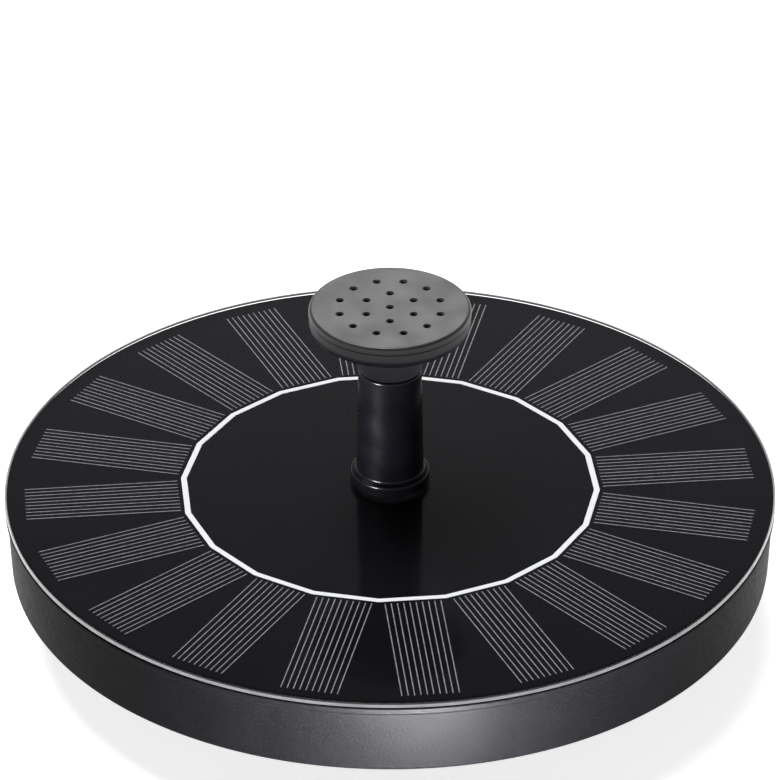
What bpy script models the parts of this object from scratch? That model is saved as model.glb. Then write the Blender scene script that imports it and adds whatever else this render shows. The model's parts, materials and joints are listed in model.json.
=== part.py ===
"""Floating solar fountain: a round float under a ring of solar cells, a brushless pump and a spray nozzle.

Frame: metres, +Z up. The origin is on the underside of the strainer's foot ring, below the float's middle.
The riser and the nozzle stand on the Z axis. The pump's axis stands beside it, so that the volute's
tangential outlet runs straight into the foot of the riser.
"""

import math

import bmesh
import bpy
from mathutils import Matrix, Vector

# ---------------------------------------------------------------- driving dimensions

DISC_RADIUS = 0.0800  # the clear cover and the rim under it
DISC_HEIGHT = 0.0170  # underside of the float to the top of the clear cover
NOZZLE_HEIGHT = 0.0412  # clear cover to the top of the spray plate
HEAD_RADIUS = 0.0166  # spray plate

# float housing
FLOAT_FLOOR = 0.0020
FLOAT_TAPER = 0.0005  # the wall leans in by this much towards its foot
RIM_STEP = 0.0004  # the rim stands proud of the wall
RIM_HEIGHT = 0.0012
WALL = 0.0024
FOOT_LIP_WIDTH = 0.0020  # the base plate's edge lies on this lip of the wall
FOOT_LIP_THICKNESS = 0.0010
SHELF_WIDTH = 0.0020
SHELF_THICKNESS = 0.0014
FOOT_CHAMFER = 0.0006
RIB_COUNT = 10
RIB_THICKNESS = 0.0012
RIB_HEIGHT = 0.0045
BOSS_RADIUS = 0.0030
BOSS_HEIGHT = 0.0045

# solar panel
COVER_THICKNESS = 0.0014
COVER_ROUNDING = 0.0012
BOARD_THICKNESS = 0.0012
CELL_THICKNESS = 0.0003
CELL_WIDTH = 0.0123
CELL_COUNT = 20
CELL_PHASE_DEG = 6.0  # direction of the first cell
CELL_EDGE_MARGIN = 0.0040  # outer end of a cell to the edge of the disc
CELL_RING_GAP = 0.0006  # inner end of a cell to the bus ring
BUS_APOTHEM = 0.0425  # middle of the bus ring's straight sides
BUS_WIDTH = 0.0011
SEAL_THICKNESS = 0.0006
RISER_SEAL_WIDTH = 0.0007

# nozzle
STEM_BORE = 0.0031
STEM_TOP_RADIUS = 0.0065
STEM_FOOT_RADIUS = 0.0070
STEM_FLANGE_RADIUS = 0.0082
STEM_FLANGE_THICKNESS = 0.0028
STEM_FLANGE_ROUNDING = 0.0008
STEM_SPIGOT_WALL = 0.0014
STEM_SPIGOT_DEPTH = 0.0085
HEAD_SIDE = 0.0044  # upright side of the head, spray plate included
BOWL_HEIGHT = 0.0052  # from the neck out to the side
BOWL_FOOT_RADIUS = 0.0078
HEAD_NECK_LENGTH = 0.0046
HEAD_WALL = 0.0013
SPRAY_PLATE = 0.0016
SPRAY_PLATE_ROUNDING = 0.0013
SPRAY_HOLE_RADIUS = 0.00055
SPRAY_RINGS = ((1, 0.0, 0.0), (6, 0.0055, 3.0), (12, 0.0105, 6.0))  # holes, circle radius, outward lean

# pump
MAGNET_RADIUS = 0.0045
MAGNET_BORE = 0.0028
ROTOR_CLEARANCE = 0.0005  # magnet to can
CAN_WALL = 0.0009
IMPELLER_RADIUS = 0.0084
IMPELLER_HEIGHT = 0.0046
SHROUD_THICKNESS = 0.0010
BLADE_COUNT = 6
BLADE_THICKNESS = 0.0009
CHAMBER_CLEARANCE = 0.0016  # impeller to volute wall
CHAMBER_END_GAP = 0.0006
VOLUTE_WALL = 0.0015
DUCT_WIDTH = 0.0060
RISER_WALL = 0.0019
FLANGE_THICKNESS = 0.0020
SHAFT_RADIUS = 0.00095
BUSH_WALL = 0.00070
HUB_WALL = 0.0007
SEAT_WALL = 0.00095
SEAT_POCKET_DEPTH = 0.0014
COVER_PLATE = 0.0014
INLET_RADIUS = 0.0046
SPIDER_ARM = 0.0012
SPIGOT_HEIGHT = 0.0014
EAR_REACH = 0.0020
EAR_WIDTH = 0.0040
HOOK_WIDTH = 0.0050
HOOK_THICKNESS = 0.0014
HOOK_LIP = 0.0008
COVER_SEAL_RADIUS = 0.00045

# stator
STATOR_RADIUS = 0.0128
STATOR_RING = 0.0018
POLE_COUNT = 4
POLE_WIDTH = 0.0026
SHOE_THICKNESS = 0.0008
SHOE_HALF_ANGLE_DEG = 33.0
COIL_BUILD = 0.0015  # winding thickness round a pole
LEAD_HEADROOM = 0.0025  # top of the windings to the panel board
HALL_SENSOR = (0.0012, 0.0024, 0.0030)

# strainer
STRAINER_WALL = 0.0016
STRAINER_FLOOR = 0.0016
FOOT_RING_WIDTH = 0.0040
FOOT_RING_HEIGHT = 0.0008
INLET_GAP = 0.0020  # strainer floor to the volute cover
SLOT_COUNT = 24
SLOT_WIDTH = 0.0022
FLOOR_SLOT_WIDTH = 0.0018

# electronics
DRIVER_LENGTH = 0.0200
DRIVER_WIDTH = 0.0130
DRIVER_THICKNESS = 0.0012
DRIVER_POST_RADIUS = 0.0016
CHIP = (0.0050, 0.0040, 0.0016)
CHIP_OFFSET = (-0.0045, 0.0010)  # from the middle of the driver board
DIODE = (0.0045, 0.0025, 0.0020)
DIODE_OFFSET = (0.0030, 0.0040)
CAPACITOR_RADIUS = 0.0025
CAPACITOR_OFFSET = (0.0065, -0.0010)
LEAD_RADIUS = 0.0006
PHASE_LEAD_RADIUS = 0.0004

# screws that hold the pump to the float
SCREW_SHANK = 0.0011
SCREW_HEAD_RADIUS = 0.0022
SCREW_HEAD_HEIGHT = 0.0014
SCREW_LENGTH = 0.0055
SCREW_ANGLES_DEG = (270.0, 10.0, 190.0)
GASKET_THICKNESS = 0.0006

# clearances
GAP = 0.0003  # between curved or sliding neighbours
THIN_GAP = 0.0001  # between flat layers that lie on each other
RUNNING = 0.00008  # shaft in its bushes
PUSH_FIT = 0.0002  # nozzle spigots in their sockets
EMBED = 0.0005  # how far joined shapes run into each other
THROUGH = 0.0010  # how far a cutter stands out of the wall it cuts

SEGMENTS_DISC = 60
SEGMENTS_PUMP = 36
SEGMENTS_NOZZLE = 32
SEGMENTS_SMALL = 16

# ---------------------------------------------------------------- heights, from the foot upwards

STRAINER_FLOOR_Z = FOOT_RING_HEIGHT + STRAINER_FLOOR
PLATE_LOW_Z = STRAINER_FLOOR_Z + INLET_GAP
PLATE_TOP_Z = PLATE_LOW_Z + COVER_PLATE
MOUTH_Z = PLATE_TOP_Z + GAP  # underside of the volute wall
IMPELLER_LOW_Z = PLATE_TOP_Z + CHAMBER_END_GAP
IMPELLER_TOP_Z = IMPELLER_LOW_Z + IMPELLER_HEIGHT
ROOF_Z = IMPELLER_TOP_Z + CHAMBER_END_GAP
FLANGE_TOP_Z = ROOF_Z + FLANGE_THICKNESS
FLOAT_LOW_Z = FLANGE_TOP_Z + GASKET_THICKNESS + 2 * THIN_GAP
FLOAT_FLOOR_Z = FLOAT_LOW_Z + FLOAT_FLOOR
DECK_Z = FLOAT_LOW_Z + DISC_HEIGHT  # top of the clear cover
COVER_LOW_Z = DECK_Z - COVER_THICKNESS
CELL_TOP_Z = COVER_LOW_Z - THIN_GAP
CELL_LOW_Z = CELL_TOP_Z - CELL_THICKNESS
BOARD_TOP_Z = CELL_LOW_Z - THIN_GAP
BOARD_LOW_Z = BOARD_TOP_Z - BOARD_THICKNESS
SHELF_Z = BOARD_LOW_Z - SEAL_THICKNESS - 2 * THIN_GAP
RIM_Z = COVER_LOW_Z - GAP
CAN_TOP_Z = BOARD_LOW_Z - GAP
CAN_INNER_Z = CAN_TOP_Z - CAN_WALL - SEAT_POCKET_DEPTH
MAGNET_TOP_Z = CAN_INNER_Z - CHAMBER_END_GAP
MAGNET_LOW_Z = ROOF_Z + CHAMBER_END_GAP
HEAD_TOP_Z = DECK_Z + NOZZLE_HEIGHT
BOWL_TOP_Z = HEAD_TOP_Z - HEAD_SIDE
BOWL_LOW_Z = BOWL_TOP_Z - BOWL_HEIGHT
NECK_LOW_Z = BOWL_LOW_Z - HEAD_NECK_LENGTH
SPIGOT_LOW_Z = DECK_Z - STEM_SPIGOT_DEPTH

# ---------------------------------------------------------------- plan sizes that follow from the others

STEM_SPIGOT_RADIUS = STEM_BORE + STEM_SPIGOT_WALL
RISER_BORE = STEM_SPIGOT_RADIUS + PUSH_FIT
RISER_RADIUS = RISER_BORE + RISER_WALL
CAN_BORE = MAGNET_RADIUS + ROTOR_CLEARANCE
CAN_RADIUS = CAN_BORE + CAN_WALL
CHAMBER_RADIUS = IMPELLER_RADIUS + CHAMBER_CLEARANCE
MOUTH_RADIUS = CHAMBER_RADIUS + 2 * COVER_SEAL_RADIUS
VOLUTE_RADIUS = MOUTH_RADIUS + VOLUTE_WALL
HOOK_INNER_RADIUS = VOLUTE_RADIUS + EAR_REACH + GAP
PUMP_DISTANCE = max(STATOR_RADIUS, CAN_RADIUS) + RISER_RADIUS + GAP
PUMP_X = -(CHAMBER_RADIUS - DUCT_WIDTH / 2 - GAP)
PUMP_Y = math.sqrt(PUMP_DISTANCE**2 - PUMP_X**2)
PUMP_CENTRE = (PUMP_X, PUMP_Y)
PUMP_DIRECTION = math.atan2(PUMP_Y, PUMP_X)
STRAINER_BORE = PUMP_DISTANCE + VOLUTE_RADIUS + GAP
STRAINER_RADIUS = STRAINER_BORE + STRAINER_WALL
FLANGE_RADIUS = STRAINER_BORE - GAP
SCREW_CIRCLE = FLANGE_RADIUS - 2 * BOSS_RADIUS
RIM_RADIUS = DISC_RADIUS
WALL_TOP_RADIUS = RIM_RADIUS - RIM_STEP
WALL_FOOT_RADIUS = WALL_TOP_RADIUS - FLOAT_TAPER
FLOAT_BORE = WALL_TOP_RADIUS - WALL
BOARD_RADIUS = FLOAT_BORE - GAP
BOARD_HOLE = RISER_RADIUS + RISER_SEAL_WIDTH + 2 * THIN_GAP
CELL_INNER = BUS_APOTHEM + BUS_WIDTH / 2 + CELL_RING_GAP
CELL_OUTER = DISC_RADIUS - CELL_EDGE_MARGIN
SHAFT_BORE = SHAFT_RADIUS + RUNNING
BUSH_RADIUS = SHAFT_BORE + BUSH_WALL
SLEEVE_BORE = BUSH_RADIUS + THIN_GAP
SLEEVE_RADIUS = MAGNET_BORE - THIN_GAP
SEAT_RADIUS = SHAFT_BORE + SEAT_WALL
SOCKET_BORE = STEM_SPIGOT_RADIUS + PUSH_FIT
DRIVER_CENTRE = (STATOR_RADIUS + DRIVER_LENGTH / 2, PUMP_Y + 0.0040)
STATOR_STACK = BOARD_LOW_Z - LEAD_HEADROOM - FLOAT_FLOOR_Z - GAP - 2 * COIL_BUILD
COIL_WIDTH = POLE_WIDTH + 2 * COIL_BUILD
COIL_INNER = CAN_RADIUS + 2 * GAP + SHOE_THICKNESS
COIL_OUTER = math.sqrt((STATOR_RADIUS - STATOR_RING) ** 2 - (COIL_WIDTH / 2) ** 2) - GAP
COIL_MIDDLE = (COIL_INNER + COIL_OUTER) / 2
LEAD_COIL_DIRECTION = PUMP_DIRECTION + 5 * math.pi / 4


# ---------------------------------------------------------------- modelling helpers


def clear_scene():
    for old in list(bpy.data.objects):
        bpy.data.objects.remove(old)


def collection(name):
    made = bpy.data.collections.new(name)
    bpy.context.scene.collection.children.link(made)
    return made


def plastic(name, colour, roughness, metallic=0.0, alpha=1.0):
    """A Principled material."""
    made = bpy.data.materials.new(name)
    made.use_nodes = True
    shader = made.node_tree.nodes["Principled BSDF"]
    shader.inputs["Base Color"].default_value = (*colour, 1.0)
    shader.inputs["Roughness"].default_value = roughness
    shader.inputs["Metallic"].default_value = metallic
    shader.inputs["Alpha"].default_value = alpha
    return made


def finish_mesh(obj, smooth_deg=30.0):
    obj.data.shade_smooth()
    obj.data.set_sharp_from_angle(angle=math.radians(smooth_deg))


def place(obj, material=None, tool=False):
    """Moves an object into the parts' or the tools' collection."""
    for home in list(obj.users_collection):
        home.objects.unlink(obj)
    (TOOLS if tool else PARTS).objects.link(obj)
    if tool:
        obj.hide_render = True
        obj.display_type = "WIRE"
    if material is not None:
        obj.data.materials.append(material)
    return obj


def turned(name, profile, segments, material=None, centre=(0.0, 0.0), closed=True, tool=False, turn_deg=0.0):
    """A turned piece: profile is (radius, height) pairs, down the outer side and up the inner one."""
    mesh = bpy.data.meshes.new(name)
    points = [(r, 0.0, z) for r, z in profile]
    count = len(points)
    edges = [(i, (i + 1) % count) for i in range(count if closed else count - 1)]
    mesh.from_pydata(points, edges, [])
    obj = bpy.data.objects.new(name, mesh)
    obj.location = (centre[0], centre[1], 0.0)
    obj.rotation_euler.z = math.radians(turn_deg)
    screw = obj.modifiers.new("turn", "SCREW")
    screw.axis = "Z"
    screw.steps = screw.render_steps = segments
    screw.use_merge_vertices = True
    screw.merge_threshold = 1e-7
    screw.use_smooth_shade = True
    PARTS.objects.link(obj)
    return place(obj, material, tool)


def ring(name, inner, outer, low, high, segments, material, centre=(0.0, 0.0), turn_deg=0.0):
    profile = [(outer, high), (outer, low), (inner, low), (inner, high)]
    return turned(name, profile, segments, material, centre, turn_deg=turn_deg)


def cylinder(name, radius, low, high, segments, material=None, centre=(0.0, 0.0), tool=False):
    bpy.ops.mesh.primitive_cylinder_add(
        vertices=segments,
        radius=radius,
        depth=high - low,
        location=(centre[0], centre[1], (low + high) / 2),
    )
    obj = bpy.context.object
    obj.name = obj.data.name = name
    finish_mesh(obj)
    return place(obj, material, tool)


def boxes(name, entries, material=None, tool=False, origin=(0.0, 0.0, 0.0)):
    """One object of several boxes, each (size, centre, turn about Z through the object's origin)."""
    work = bmesh.new()
    for size, centre, turn in entries:
        made = bmesh.ops.create_cube(work, size=1.0)["verts"]
        bmesh.ops.scale(work, vec=size, verts=made)
        bmesh.ops.translate(work, vec=centre, verts=made)
        bmesh.ops.rotate(work, cent=(0, 0, 0), matrix=turn_about_z(turn), verts=made)
    mesh = bpy.data.meshes.new(name)
    work.to_mesh(mesh)
    work.free()
    obj = bpy.data.objects.new(name, mesh)
    obj.location = origin
    PARTS.objects.link(obj)
    return place(obj, material, tool)


def box(name, size, centre, material=None, tool=False):
    return boxes(name, [(size, (0.0, 0.0, 0.0), 0.0)], material, tool, centre)


def turn_about_z(angle):
    return Matrix.Rotation(angle, 3, "Z")


def polar(radius, angle, centre=(0.0, 0.0)):
    return (centre[0] + radius * math.cos(angle), centre[1] + radius * math.sin(angle))


def arc(radius, height, size, start_deg, end_deg, steps=4):
    """Points of a profile's rounded corner about (radius, height)."""
    found = []
    for i in range(steps + 1):
        a = math.radians(start_deg + (end_deg - start_deg) * i / steps)
        found.append((radius + size * math.cos(a), height + size * math.sin(a)))
    return found


def torus(name, major, minor, height, material, centre=(0.0, 0.0)):
    bpy.ops.mesh.primitive_torus_add(
        major_radius=major,
        minor_radius=minor,
        major_segments=24,
        minor_segments=6,
        location=(centre[0], centre[1], height),
    )
    obj = bpy.context.object
    obj.name = obj.data.name = name
    finish_mesh(obj, 60.0)
    return place(obj, material)


def combine(target, tool, operation):
    made = target.modifiers.new(operation.lower(), "BOOLEAN")
    made.operation = operation
    made.solver = "EXACT"
    made.object = tool
    return target


def cut(target, *tools):
    for tool in tools:
        combine(target, tool, "DIFFERENCE")
    return target


def join(target, *tools):
    for tool in tools:
        combine(target, tool, "UNION")
    return target


def wire(name, points, radius, material):
    """A round wire through points, with a point every few diameters on a smooth curve."""
    route = smooth_route(points)
    data = bpy.data.curves.new(name, "CURVE")
    data.dimensions = "3D"
    data.bevel_depth = radius
    data.bevel_resolution = 2
    data.use_fill_caps = True
    spline = data.splines.new("POLY")
    spline.points.add(len(route) - 1)
    for point, at in zip(spline.points, route):
        point.co = (*at, 1.0)
    obj = bpy.data.objects.new(name, data)
    PARTS.objects.link(obj)
    return place(obj, material)


def smooth_route(points, steps=3):
    """Catmull-Rom points through a hand-chosen route."""
    route = [Vector(point) for point in points]
    route = [route[0], *route, route[-1]]
    found = []
    for a, b, c, d in zip(route, route[1:], route[2:], route[3:]):
        for i in range(steps):
            t = i / steps
            bend = (2 * a - 5 * b + 4 * c - d) * t**2 + (3 * b - a - 3 * c + d) * t**3
            found.append(b + 0.5 * ((c - a) * t + bend))
    return [*found, route[-1]]


# ---------------------------------------------------------------- float


def make_float_wall():
    corner = 0.0008
    foot_bore = WALL_FOOT_RADIUS - WALL
    lip_bore = foot_bore - FOOT_LIP_WIDTH
    lip_top = FLOAT_LOW_Z + FOOT_LIP_THICKNESS
    shelf_bore = FLOAT_BORE - SHELF_WIDTH
    profile = [
        (RIM_RADIUS - RIM_STEP, RIM_Z),
        (RIM_RADIUS, RIM_Z - RIM_STEP),
        (RIM_RADIUS, RIM_Z - RIM_HEIGHT),
        (WALL_TOP_RADIUS, RIM_Z - RIM_HEIGHT - RIM_STEP),
        (WALL_FOOT_RADIUS, FLOAT_LOW_Z + FOOT_CHAMFER),
        (WALL_FOOT_RADIUS - FOOT_CHAMFER, FLOAT_LOW_Z),
        (lip_bore, FLOAT_LOW_Z),
        (lip_bore, lip_top),
        (foot_bore, lip_top),
        (foot_bore, FLOAT_FLOOR_Z + corner),
        (FLOAT_BORE, SHELF_Z - SHELF_THICKNESS - SHELF_WIDTH),
        (shelf_bore, SHELF_Z - SHELF_THICKNESS),
        (shelf_bore, SHELF_Z),
        (FLOAT_BORE, SHELF_Z),
        (FLOAT_BORE, RIM_Z),
    ]
    turned("float_wall", profile, SEGMENTS_DISC, BLACK_SHELL)


def make_float_base():
    edge = WALL_FOOT_RADIUS - WALL - GAP
    step = edge - FOOT_LIP_WIDTH
    step_z = FLOAT_LOW_Z + FOOT_LIP_THICKNESS + THIN_GAP
    centre_hole = RISER_RADIUS + GAP
    profile = [
        (edge, FLOAT_FLOOR_Z),
        (edge, step_z),
        (step, step_z),
        (step, FLOAT_LOW_Z),
        (centre_hole, FLOAT_LOW_Z),
        (centre_hole, FLOAT_FLOOR_Z),
    ]
    base = turned("float_base", profile, SEGMENTS_DISC, BLACK_SHELL)
    join(base, make_float_ribs(edge))
    low = FLOAT_FLOOR_Z - EMBED
    for number, angle in enumerate(SCREW_ANGLES_DEG, 1):
        at = polar(SCREW_CIRCLE, math.radians(angle))
        top = FLOAT_FLOOR_Z + BOSS_HEIGHT
        join(base, cylinder(f"tool_boss_{number}", BOSS_RADIUS, low, top, 16, None, at, True))
    for side in (-1, 1):
        x = DRIVER_CENTRE[0] + side * (DRIVER_LENGTH / 2 - 2 * DRIVER_POST_RADIUS)
        y = DRIVER_CENTRE[1] - side * (DRIVER_WIDTH / 2 - 2 * DRIVER_POST_RADIUS)
        top = FLOAT_FLOOR_Z + RIB_HEIGHT
        join(base, cylinder(f"tool_post_{side}", DRIVER_POST_RADIUS, low, top, 12, None, (x, y), True))
    below = FLOAT_LOW_Z - THROUGH
    cut(base, *make_screw_holes("pilot", SCREW_SHANK + PUSH_FIT, below, ROOF_Z + SCREW_LENGTH + GAP))
    can_hole = CAN_RADIUS + GAP
    above = FLOAT_FLOOR_Z + THROUGH
    cut(base, cylinder("tool_can_hole", can_hole, below, above, 24, None, PUMP_CENTRE, True))


def make_float_ribs(edge):
    inner = max(STRAINER_RADIUS, PUMP_DISTANCE + STATOR_RADIUS) + 2 * GAP
    outer = edge - FOOT_LIP_THICKNESS
    size = (outer - inner, RIB_THICKNESS, RIB_HEIGHT + EMBED)
    centre = ((inner + outer) / 2, 0.0, FLOAT_FLOOR_Z + (RIB_HEIGHT - EMBED) / 2)
    turns = [2 * math.pi * i / RIB_COUNT for i in range(RIB_COUNT)]
    return boxes("tool_ribs", [(size, centre, turn) for turn in turns], tool=True)


def make_panel():
    ring("panel_board", BOARD_HOLE, BOARD_RADIUS, BOARD_LOW_Z, BOARD_TOP_Z, SEGMENTS_DISC, BLACK_BOARD)
    seal_low = SHELF_Z + THIN_GAP
    seal_top = seal_low + SEAL_THICKNESS
    seal_inner = FLOAT_BORE - SHELF_WIDTH + GAP
    ring("panel_seal", seal_inner, BOARD_RADIUS, seal_low, seal_top, SEGMENTS_DISC, BLACK_RUBBER)
    riser_seal_outer = BOARD_HOLE - THIN_GAP
    ring("riser_seal", RISER_RADIUS + THIN_GAP, riser_seal_outer, BOARD_LOW_Z, BOARD_TOP_Z, 32, BLACK_RUBBER)
    cover = [
        *arc(DISC_RADIUS - COVER_ROUNDING, DECK_Z - COVER_ROUNDING, COVER_ROUNDING, 90, 0, 3),
        (DISC_RADIUS, COVER_LOW_Z),
        (BOARD_HOLE, COVER_LOW_Z),
        (BOARD_HOLE, DECK_Z),
    ]
    turned("panel_cover", cover, SEGMENTS_DISC, CLEAR_RESIN)
    half_side = math.pi / CELL_COUNT
    corner = 1 / math.cos(half_side)
    inner, outer = (BUS_APOTHEM - BUS_WIDTH / 2) * corner, (BUS_APOTHEM + BUS_WIDTH / 2) * corner
    turn = CELL_PHASE_DEG + math.degrees(half_side)
    ring("bus_ribbon", inner, outer, CELL_LOW_Z, CELL_TOP_Z, CELL_COUNT, WHITE_RIBBON, turn_deg=turn)
    size = (CELL_OUTER - CELL_INNER, CELL_WIDTH, CELL_THICKNESS)
    centre = ((CELL_INNER + CELL_OUTER) / 2, 0.0, (CELL_LOW_Z + CELL_TOP_Z) / 2)
    for i in range(CELL_COUNT):
        angle = math.radians(CELL_PHASE_DEG + 360.0 * i / CELL_COUNT)
        boxes(f"solar_cell_{i + 1:02d}", [(size, centre, angle)], SILICON)


# ---------------------------------------------------------------- pump


def make_pump_body():
    """Flange, volute, rotor can and riser in one moulding, hollowed by one tool for the whole water path."""
    riser_top = DECK_Z - THIN_GAP
    flange = [
        (0.0, riser_top),
        (RISER_RADIUS, riser_top),
        (RISER_RADIUS, FLANGE_TOP_Z),
        (FLANGE_RADIUS, FLANGE_TOP_Z),
        (FLANGE_RADIUS, ROOF_Z),
        (RISER_RADIUS, ROOF_Z),
        (RISER_RADIUS, MOUTH_Z),
        (0.0, MOUTH_Z),
    ]
    body = turned("pump_body", flange, SEGMENTS_PUMP, BLACK_PUMP, closed=False)
    volute_top = ROOF_Z + EMBED
    volute = [
        (0.0, CAN_TOP_Z),
        (CAN_RADIUS, CAN_TOP_Z),
        (CAN_RADIUS, volute_top),
        (VOLUTE_RADIUS, volute_top),
        (VOLUTE_RADIUS, MOUTH_Z),
        (0.0, MOUTH_Z),
    ]
    duct = (DUCT_WIDTH + 2 * VOLUTE_WALL, PUMP_Y, volute_top - MOUTH_Z - 2 * THIN_GAP)
    join(
        body,
        turned("tool_volute", volute, SEGMENTS_PUMP, None, PUMP_CENTRE, closed=False, tool=True),
        box("tool_duct", duct, (0.0, PUMP_Y / 2, (volute_top + MOUTH_Z) / 2), tool=True),
        make_hook(-1),
        make_hook(1),
    )
    holes = make_screw_holes("flange", SCREW_SHANK + GAP, ROOF_Z - THROUGH, FLANGE_TOP_Z + THROUGH)
    return cut(body, join(make_water_path(riser_top), *holes))


def make_water_path(riser_top):
    """Rotor well, tangential duct and riser bore as one tool."""
    seat = SEAT_RADIUS + THIN_GAP
    mouth_top = MOUTH_Z + SPIGOT_HEIGHT + CHAMBER_END_GAP
    well = [
        (0.0, CAN_TOP_Z - CAN_WALL),
        (seat, CAN_TOP_Z - CAN_WALL),
        (seat, CAN_INNER_Z),
        (CAN_BORE, CAN_INNER_Z),
        (CAN_BORE, ROOF_Z),
        (CHAMBER_RADIUS, ROOF_Z),
        (CHAMBER_RADIUS, mouth_top),
        (MOUTH_RADIUS, mouth_top),
        (MOUTH_RADIUS, MOUTH_Z - THROUGH),
        (0.0, MOUTH_Z - THROUGH),
    ]
    duct_floor = MOUTH_Z + VOLUTE_WALL
    riser = [
        (0.0, riser_top + THROUGH),
        (RISER_BORE, riser_top + THROUGH),
        (RISER_BORE, duct_floor),
        (0.0, duct_floor),
    ]
    path = turned("tool_water_path", riser, 32, closed=False, tool=True)
    duct = (DUCT_WIDTH, PUMP_Y + EMBED, ROOF_Z - duct_floor - 2 * THIN_GAP)
    duct_at = (0.0, (PUMP_Y - EMBED) / 2, (ROOF_Z + duct_floor) / 2)
    join(path, box("tool_duct_bore", duct, duct_at, tool=True))
    join(path, turned("tool_well", well, 40, None, PUMP_CENTRE, closed=False, tool=True))
    return path


def make_screw_holes(name, radius, low, high):
    made = []
    for number, angle in enumerate(SCREW_ANGLES_DEG, 1):
        centre = polar(SCREW_CIRCLE, math.radians(angle))
        made.append(cylinder(f"tool_{name}_hole_{number}", radius, low, high, 12, None, centre, True))
    return made


def make_hook(side):
    """An L-shaped bayonet hook, hung from the flange, that reaches under an ear of the volute cover."""
    angle = PUMP_DIRECTION + side * math.pi / 2
    origin = (*PUMP_CENTRE, 0.0)
    low = PLATE_LOW_Z - GAP - HOOK_LIP
    high = ROOF_Z + EMBED
    inner = HOOK_INNER_RADIUS - EAR_REACH
    outer = HOOK_INNER_RADIUS + HOOK_THICKNESS
    block = ((outer - inner, HOOK_WIDTH, high - low), ((inner + outer) / 2, 0.0, (low + high) / 2), angle)
    hook = boxes(f"tool_hook_{side}", [block], tool=True, origin=origin)
    notch_low = low + HOOK_LIP
    notch = (EAR_REACH + THROUGH, HOOK_WIDTH + 2 * THROUGH, high - notch_low + THROUGH)
    notch_at = (HOOK_INNER_RADIUS - notch[0] / 2, 0.0, notch_low + notch[2] / 2)
    return cut(hook, boxes(f"tool_notch_{side}", [(notch, notch_at, angle)], tool=True, origin=origin))


def make_volute_cover():
    spigot_radius = CHAMBER_RADIUS - GAP
    profile = [
        (spigot_radius, PLATE_TOP_Z + SPIGOT_HEIGHT),
        (spigot_radius, PLATE_TOP_Z),
        (VOLUTE_RADIUS, PLATE_TOP_Z),
        (VOLUTE_RADIUS, PLATE_LOW_Z),
        (INLET_RADIUS, PLATE_LOW_Z),
        (INLET_RADIUS, PLATE_TOP_Z),
        (IMPELLER_RADIUS + GAP, PLATE_TOP_Z),
        (IMPELLER_RADIUS + GAP, PLATE_TOP_Z + SPIGOT_HEIGHT),
    ]
    cover = turned("volute_cover", profile, 40, BLACK_PUMP, PUMP_CENTRE)
    origin = (*PUMP_CENTRE, 0.0)
    hub_radius = SEAT_RADIUS + HUB_WALL
    arm_length = INLET_RADIUS + EMBED
    middle = (PLATE_LOW_Z + PLATE_TOP_Z) / 2
    arm = (arm_length, SPIDER_ARM, COVER_PLATE - 2 * THIN_GAP)
    arm_at = (arm_length / 2, 0.0, middle)
    for i in range(3):
        join(cover, boxes(f"tool_arm_{i}", [(arm, arm_at, 2 * math.pi * i / 3)], tool=True, origin=origin))
    join(cover, cylinder("tool_hub", hub_radius, PLATE_LOW_Z, PLATE_TOP_Z, 20, None, PUMP_CENTRE, True))
    ear = (EAR_REACH + EMBED, EAR_WIDTH, COVER_PLATE - 2 * THIN_GAP)
    ear_at = (VOLUTE_RADIUS + EAR_REACH - ear[0] / 2, 0.0, middle)
    for side in (-1, 1):
        angle = PUMP_DIRECTION + side * math.pi / 2
        join(cover, boxes(f"tool_ear_{side}", [(ear, ear_at, angle)], tool=True, origin=origin))
    pocket = SEAT_RADIUS + THIN_GAP
    pocket_low = PLATE_TOP_Z - SEAT_WALL - THIN_GAP
    above = PLATE_TOP_Z + THROUGH
    cut(cover, cylinder("tool_lower_pocket", pocket, pocket_low, above, 16, None, PUMP_CENTRE, True))
    seal_radius = (CHAMBER_RADIUS - GAP + MOUTH_RADIUS) / 2
    seal_z = PLATE_TOP_Z + GAP + COVER_SEAL_RADIUS
    torus("volute_seal", seal_radius, COVER_SEAL_RADIUS, seal_z, BLACK_RUBBER, PUMP_CENTRE)


def make_rotor():
    hub_radius = SLEEVE_RADIUS + HUB_WALL
    shroud_z = IMPELLER_TOP_Z - SHROUD_THICKNESS
    profile = [
        (SLEEVE_RADIUS, MAGNET_TOP_Z),
        (SLEEVE_RADIUS, IMPELLER_TOP_Z),
        (IMPELLER_RADIUS, IMPELLER_TOP_Z),
        (IMPELLER_RADIUS, shroud_z),
        (hub_radius, shroud_z),
        (hub_radius, IMPELLER_LOW_Z),
        (SLEEVE_BORE, IMPELLER_LOW_Z),
        (SLEEVE_BORE, MAGNET_TOP_Z),
    ]
    impeller = turned("impeller", profile, 32, WHITE_IMPELLER, PUMP_CENTRE)
    for i in range(BLADE_COUNT):
        join(impeller, make_blade(i, hub_radius, shroud_z))
    ring("rotor_magnet", MAGNET_BORE, MAGNET_RADIUS, MAGNET_LOW_Z, MAGNET_TOP_Z, 24, FERRITE, PUMP_CENTRE)
    ring("rotor_bush", SHAFT_BORE, BUSH_RADIUS, IMPELLER_LOW_Z, MAGNET_TOP_Z, 24, CERAMIC, PUMP_CENTRE)


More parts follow.
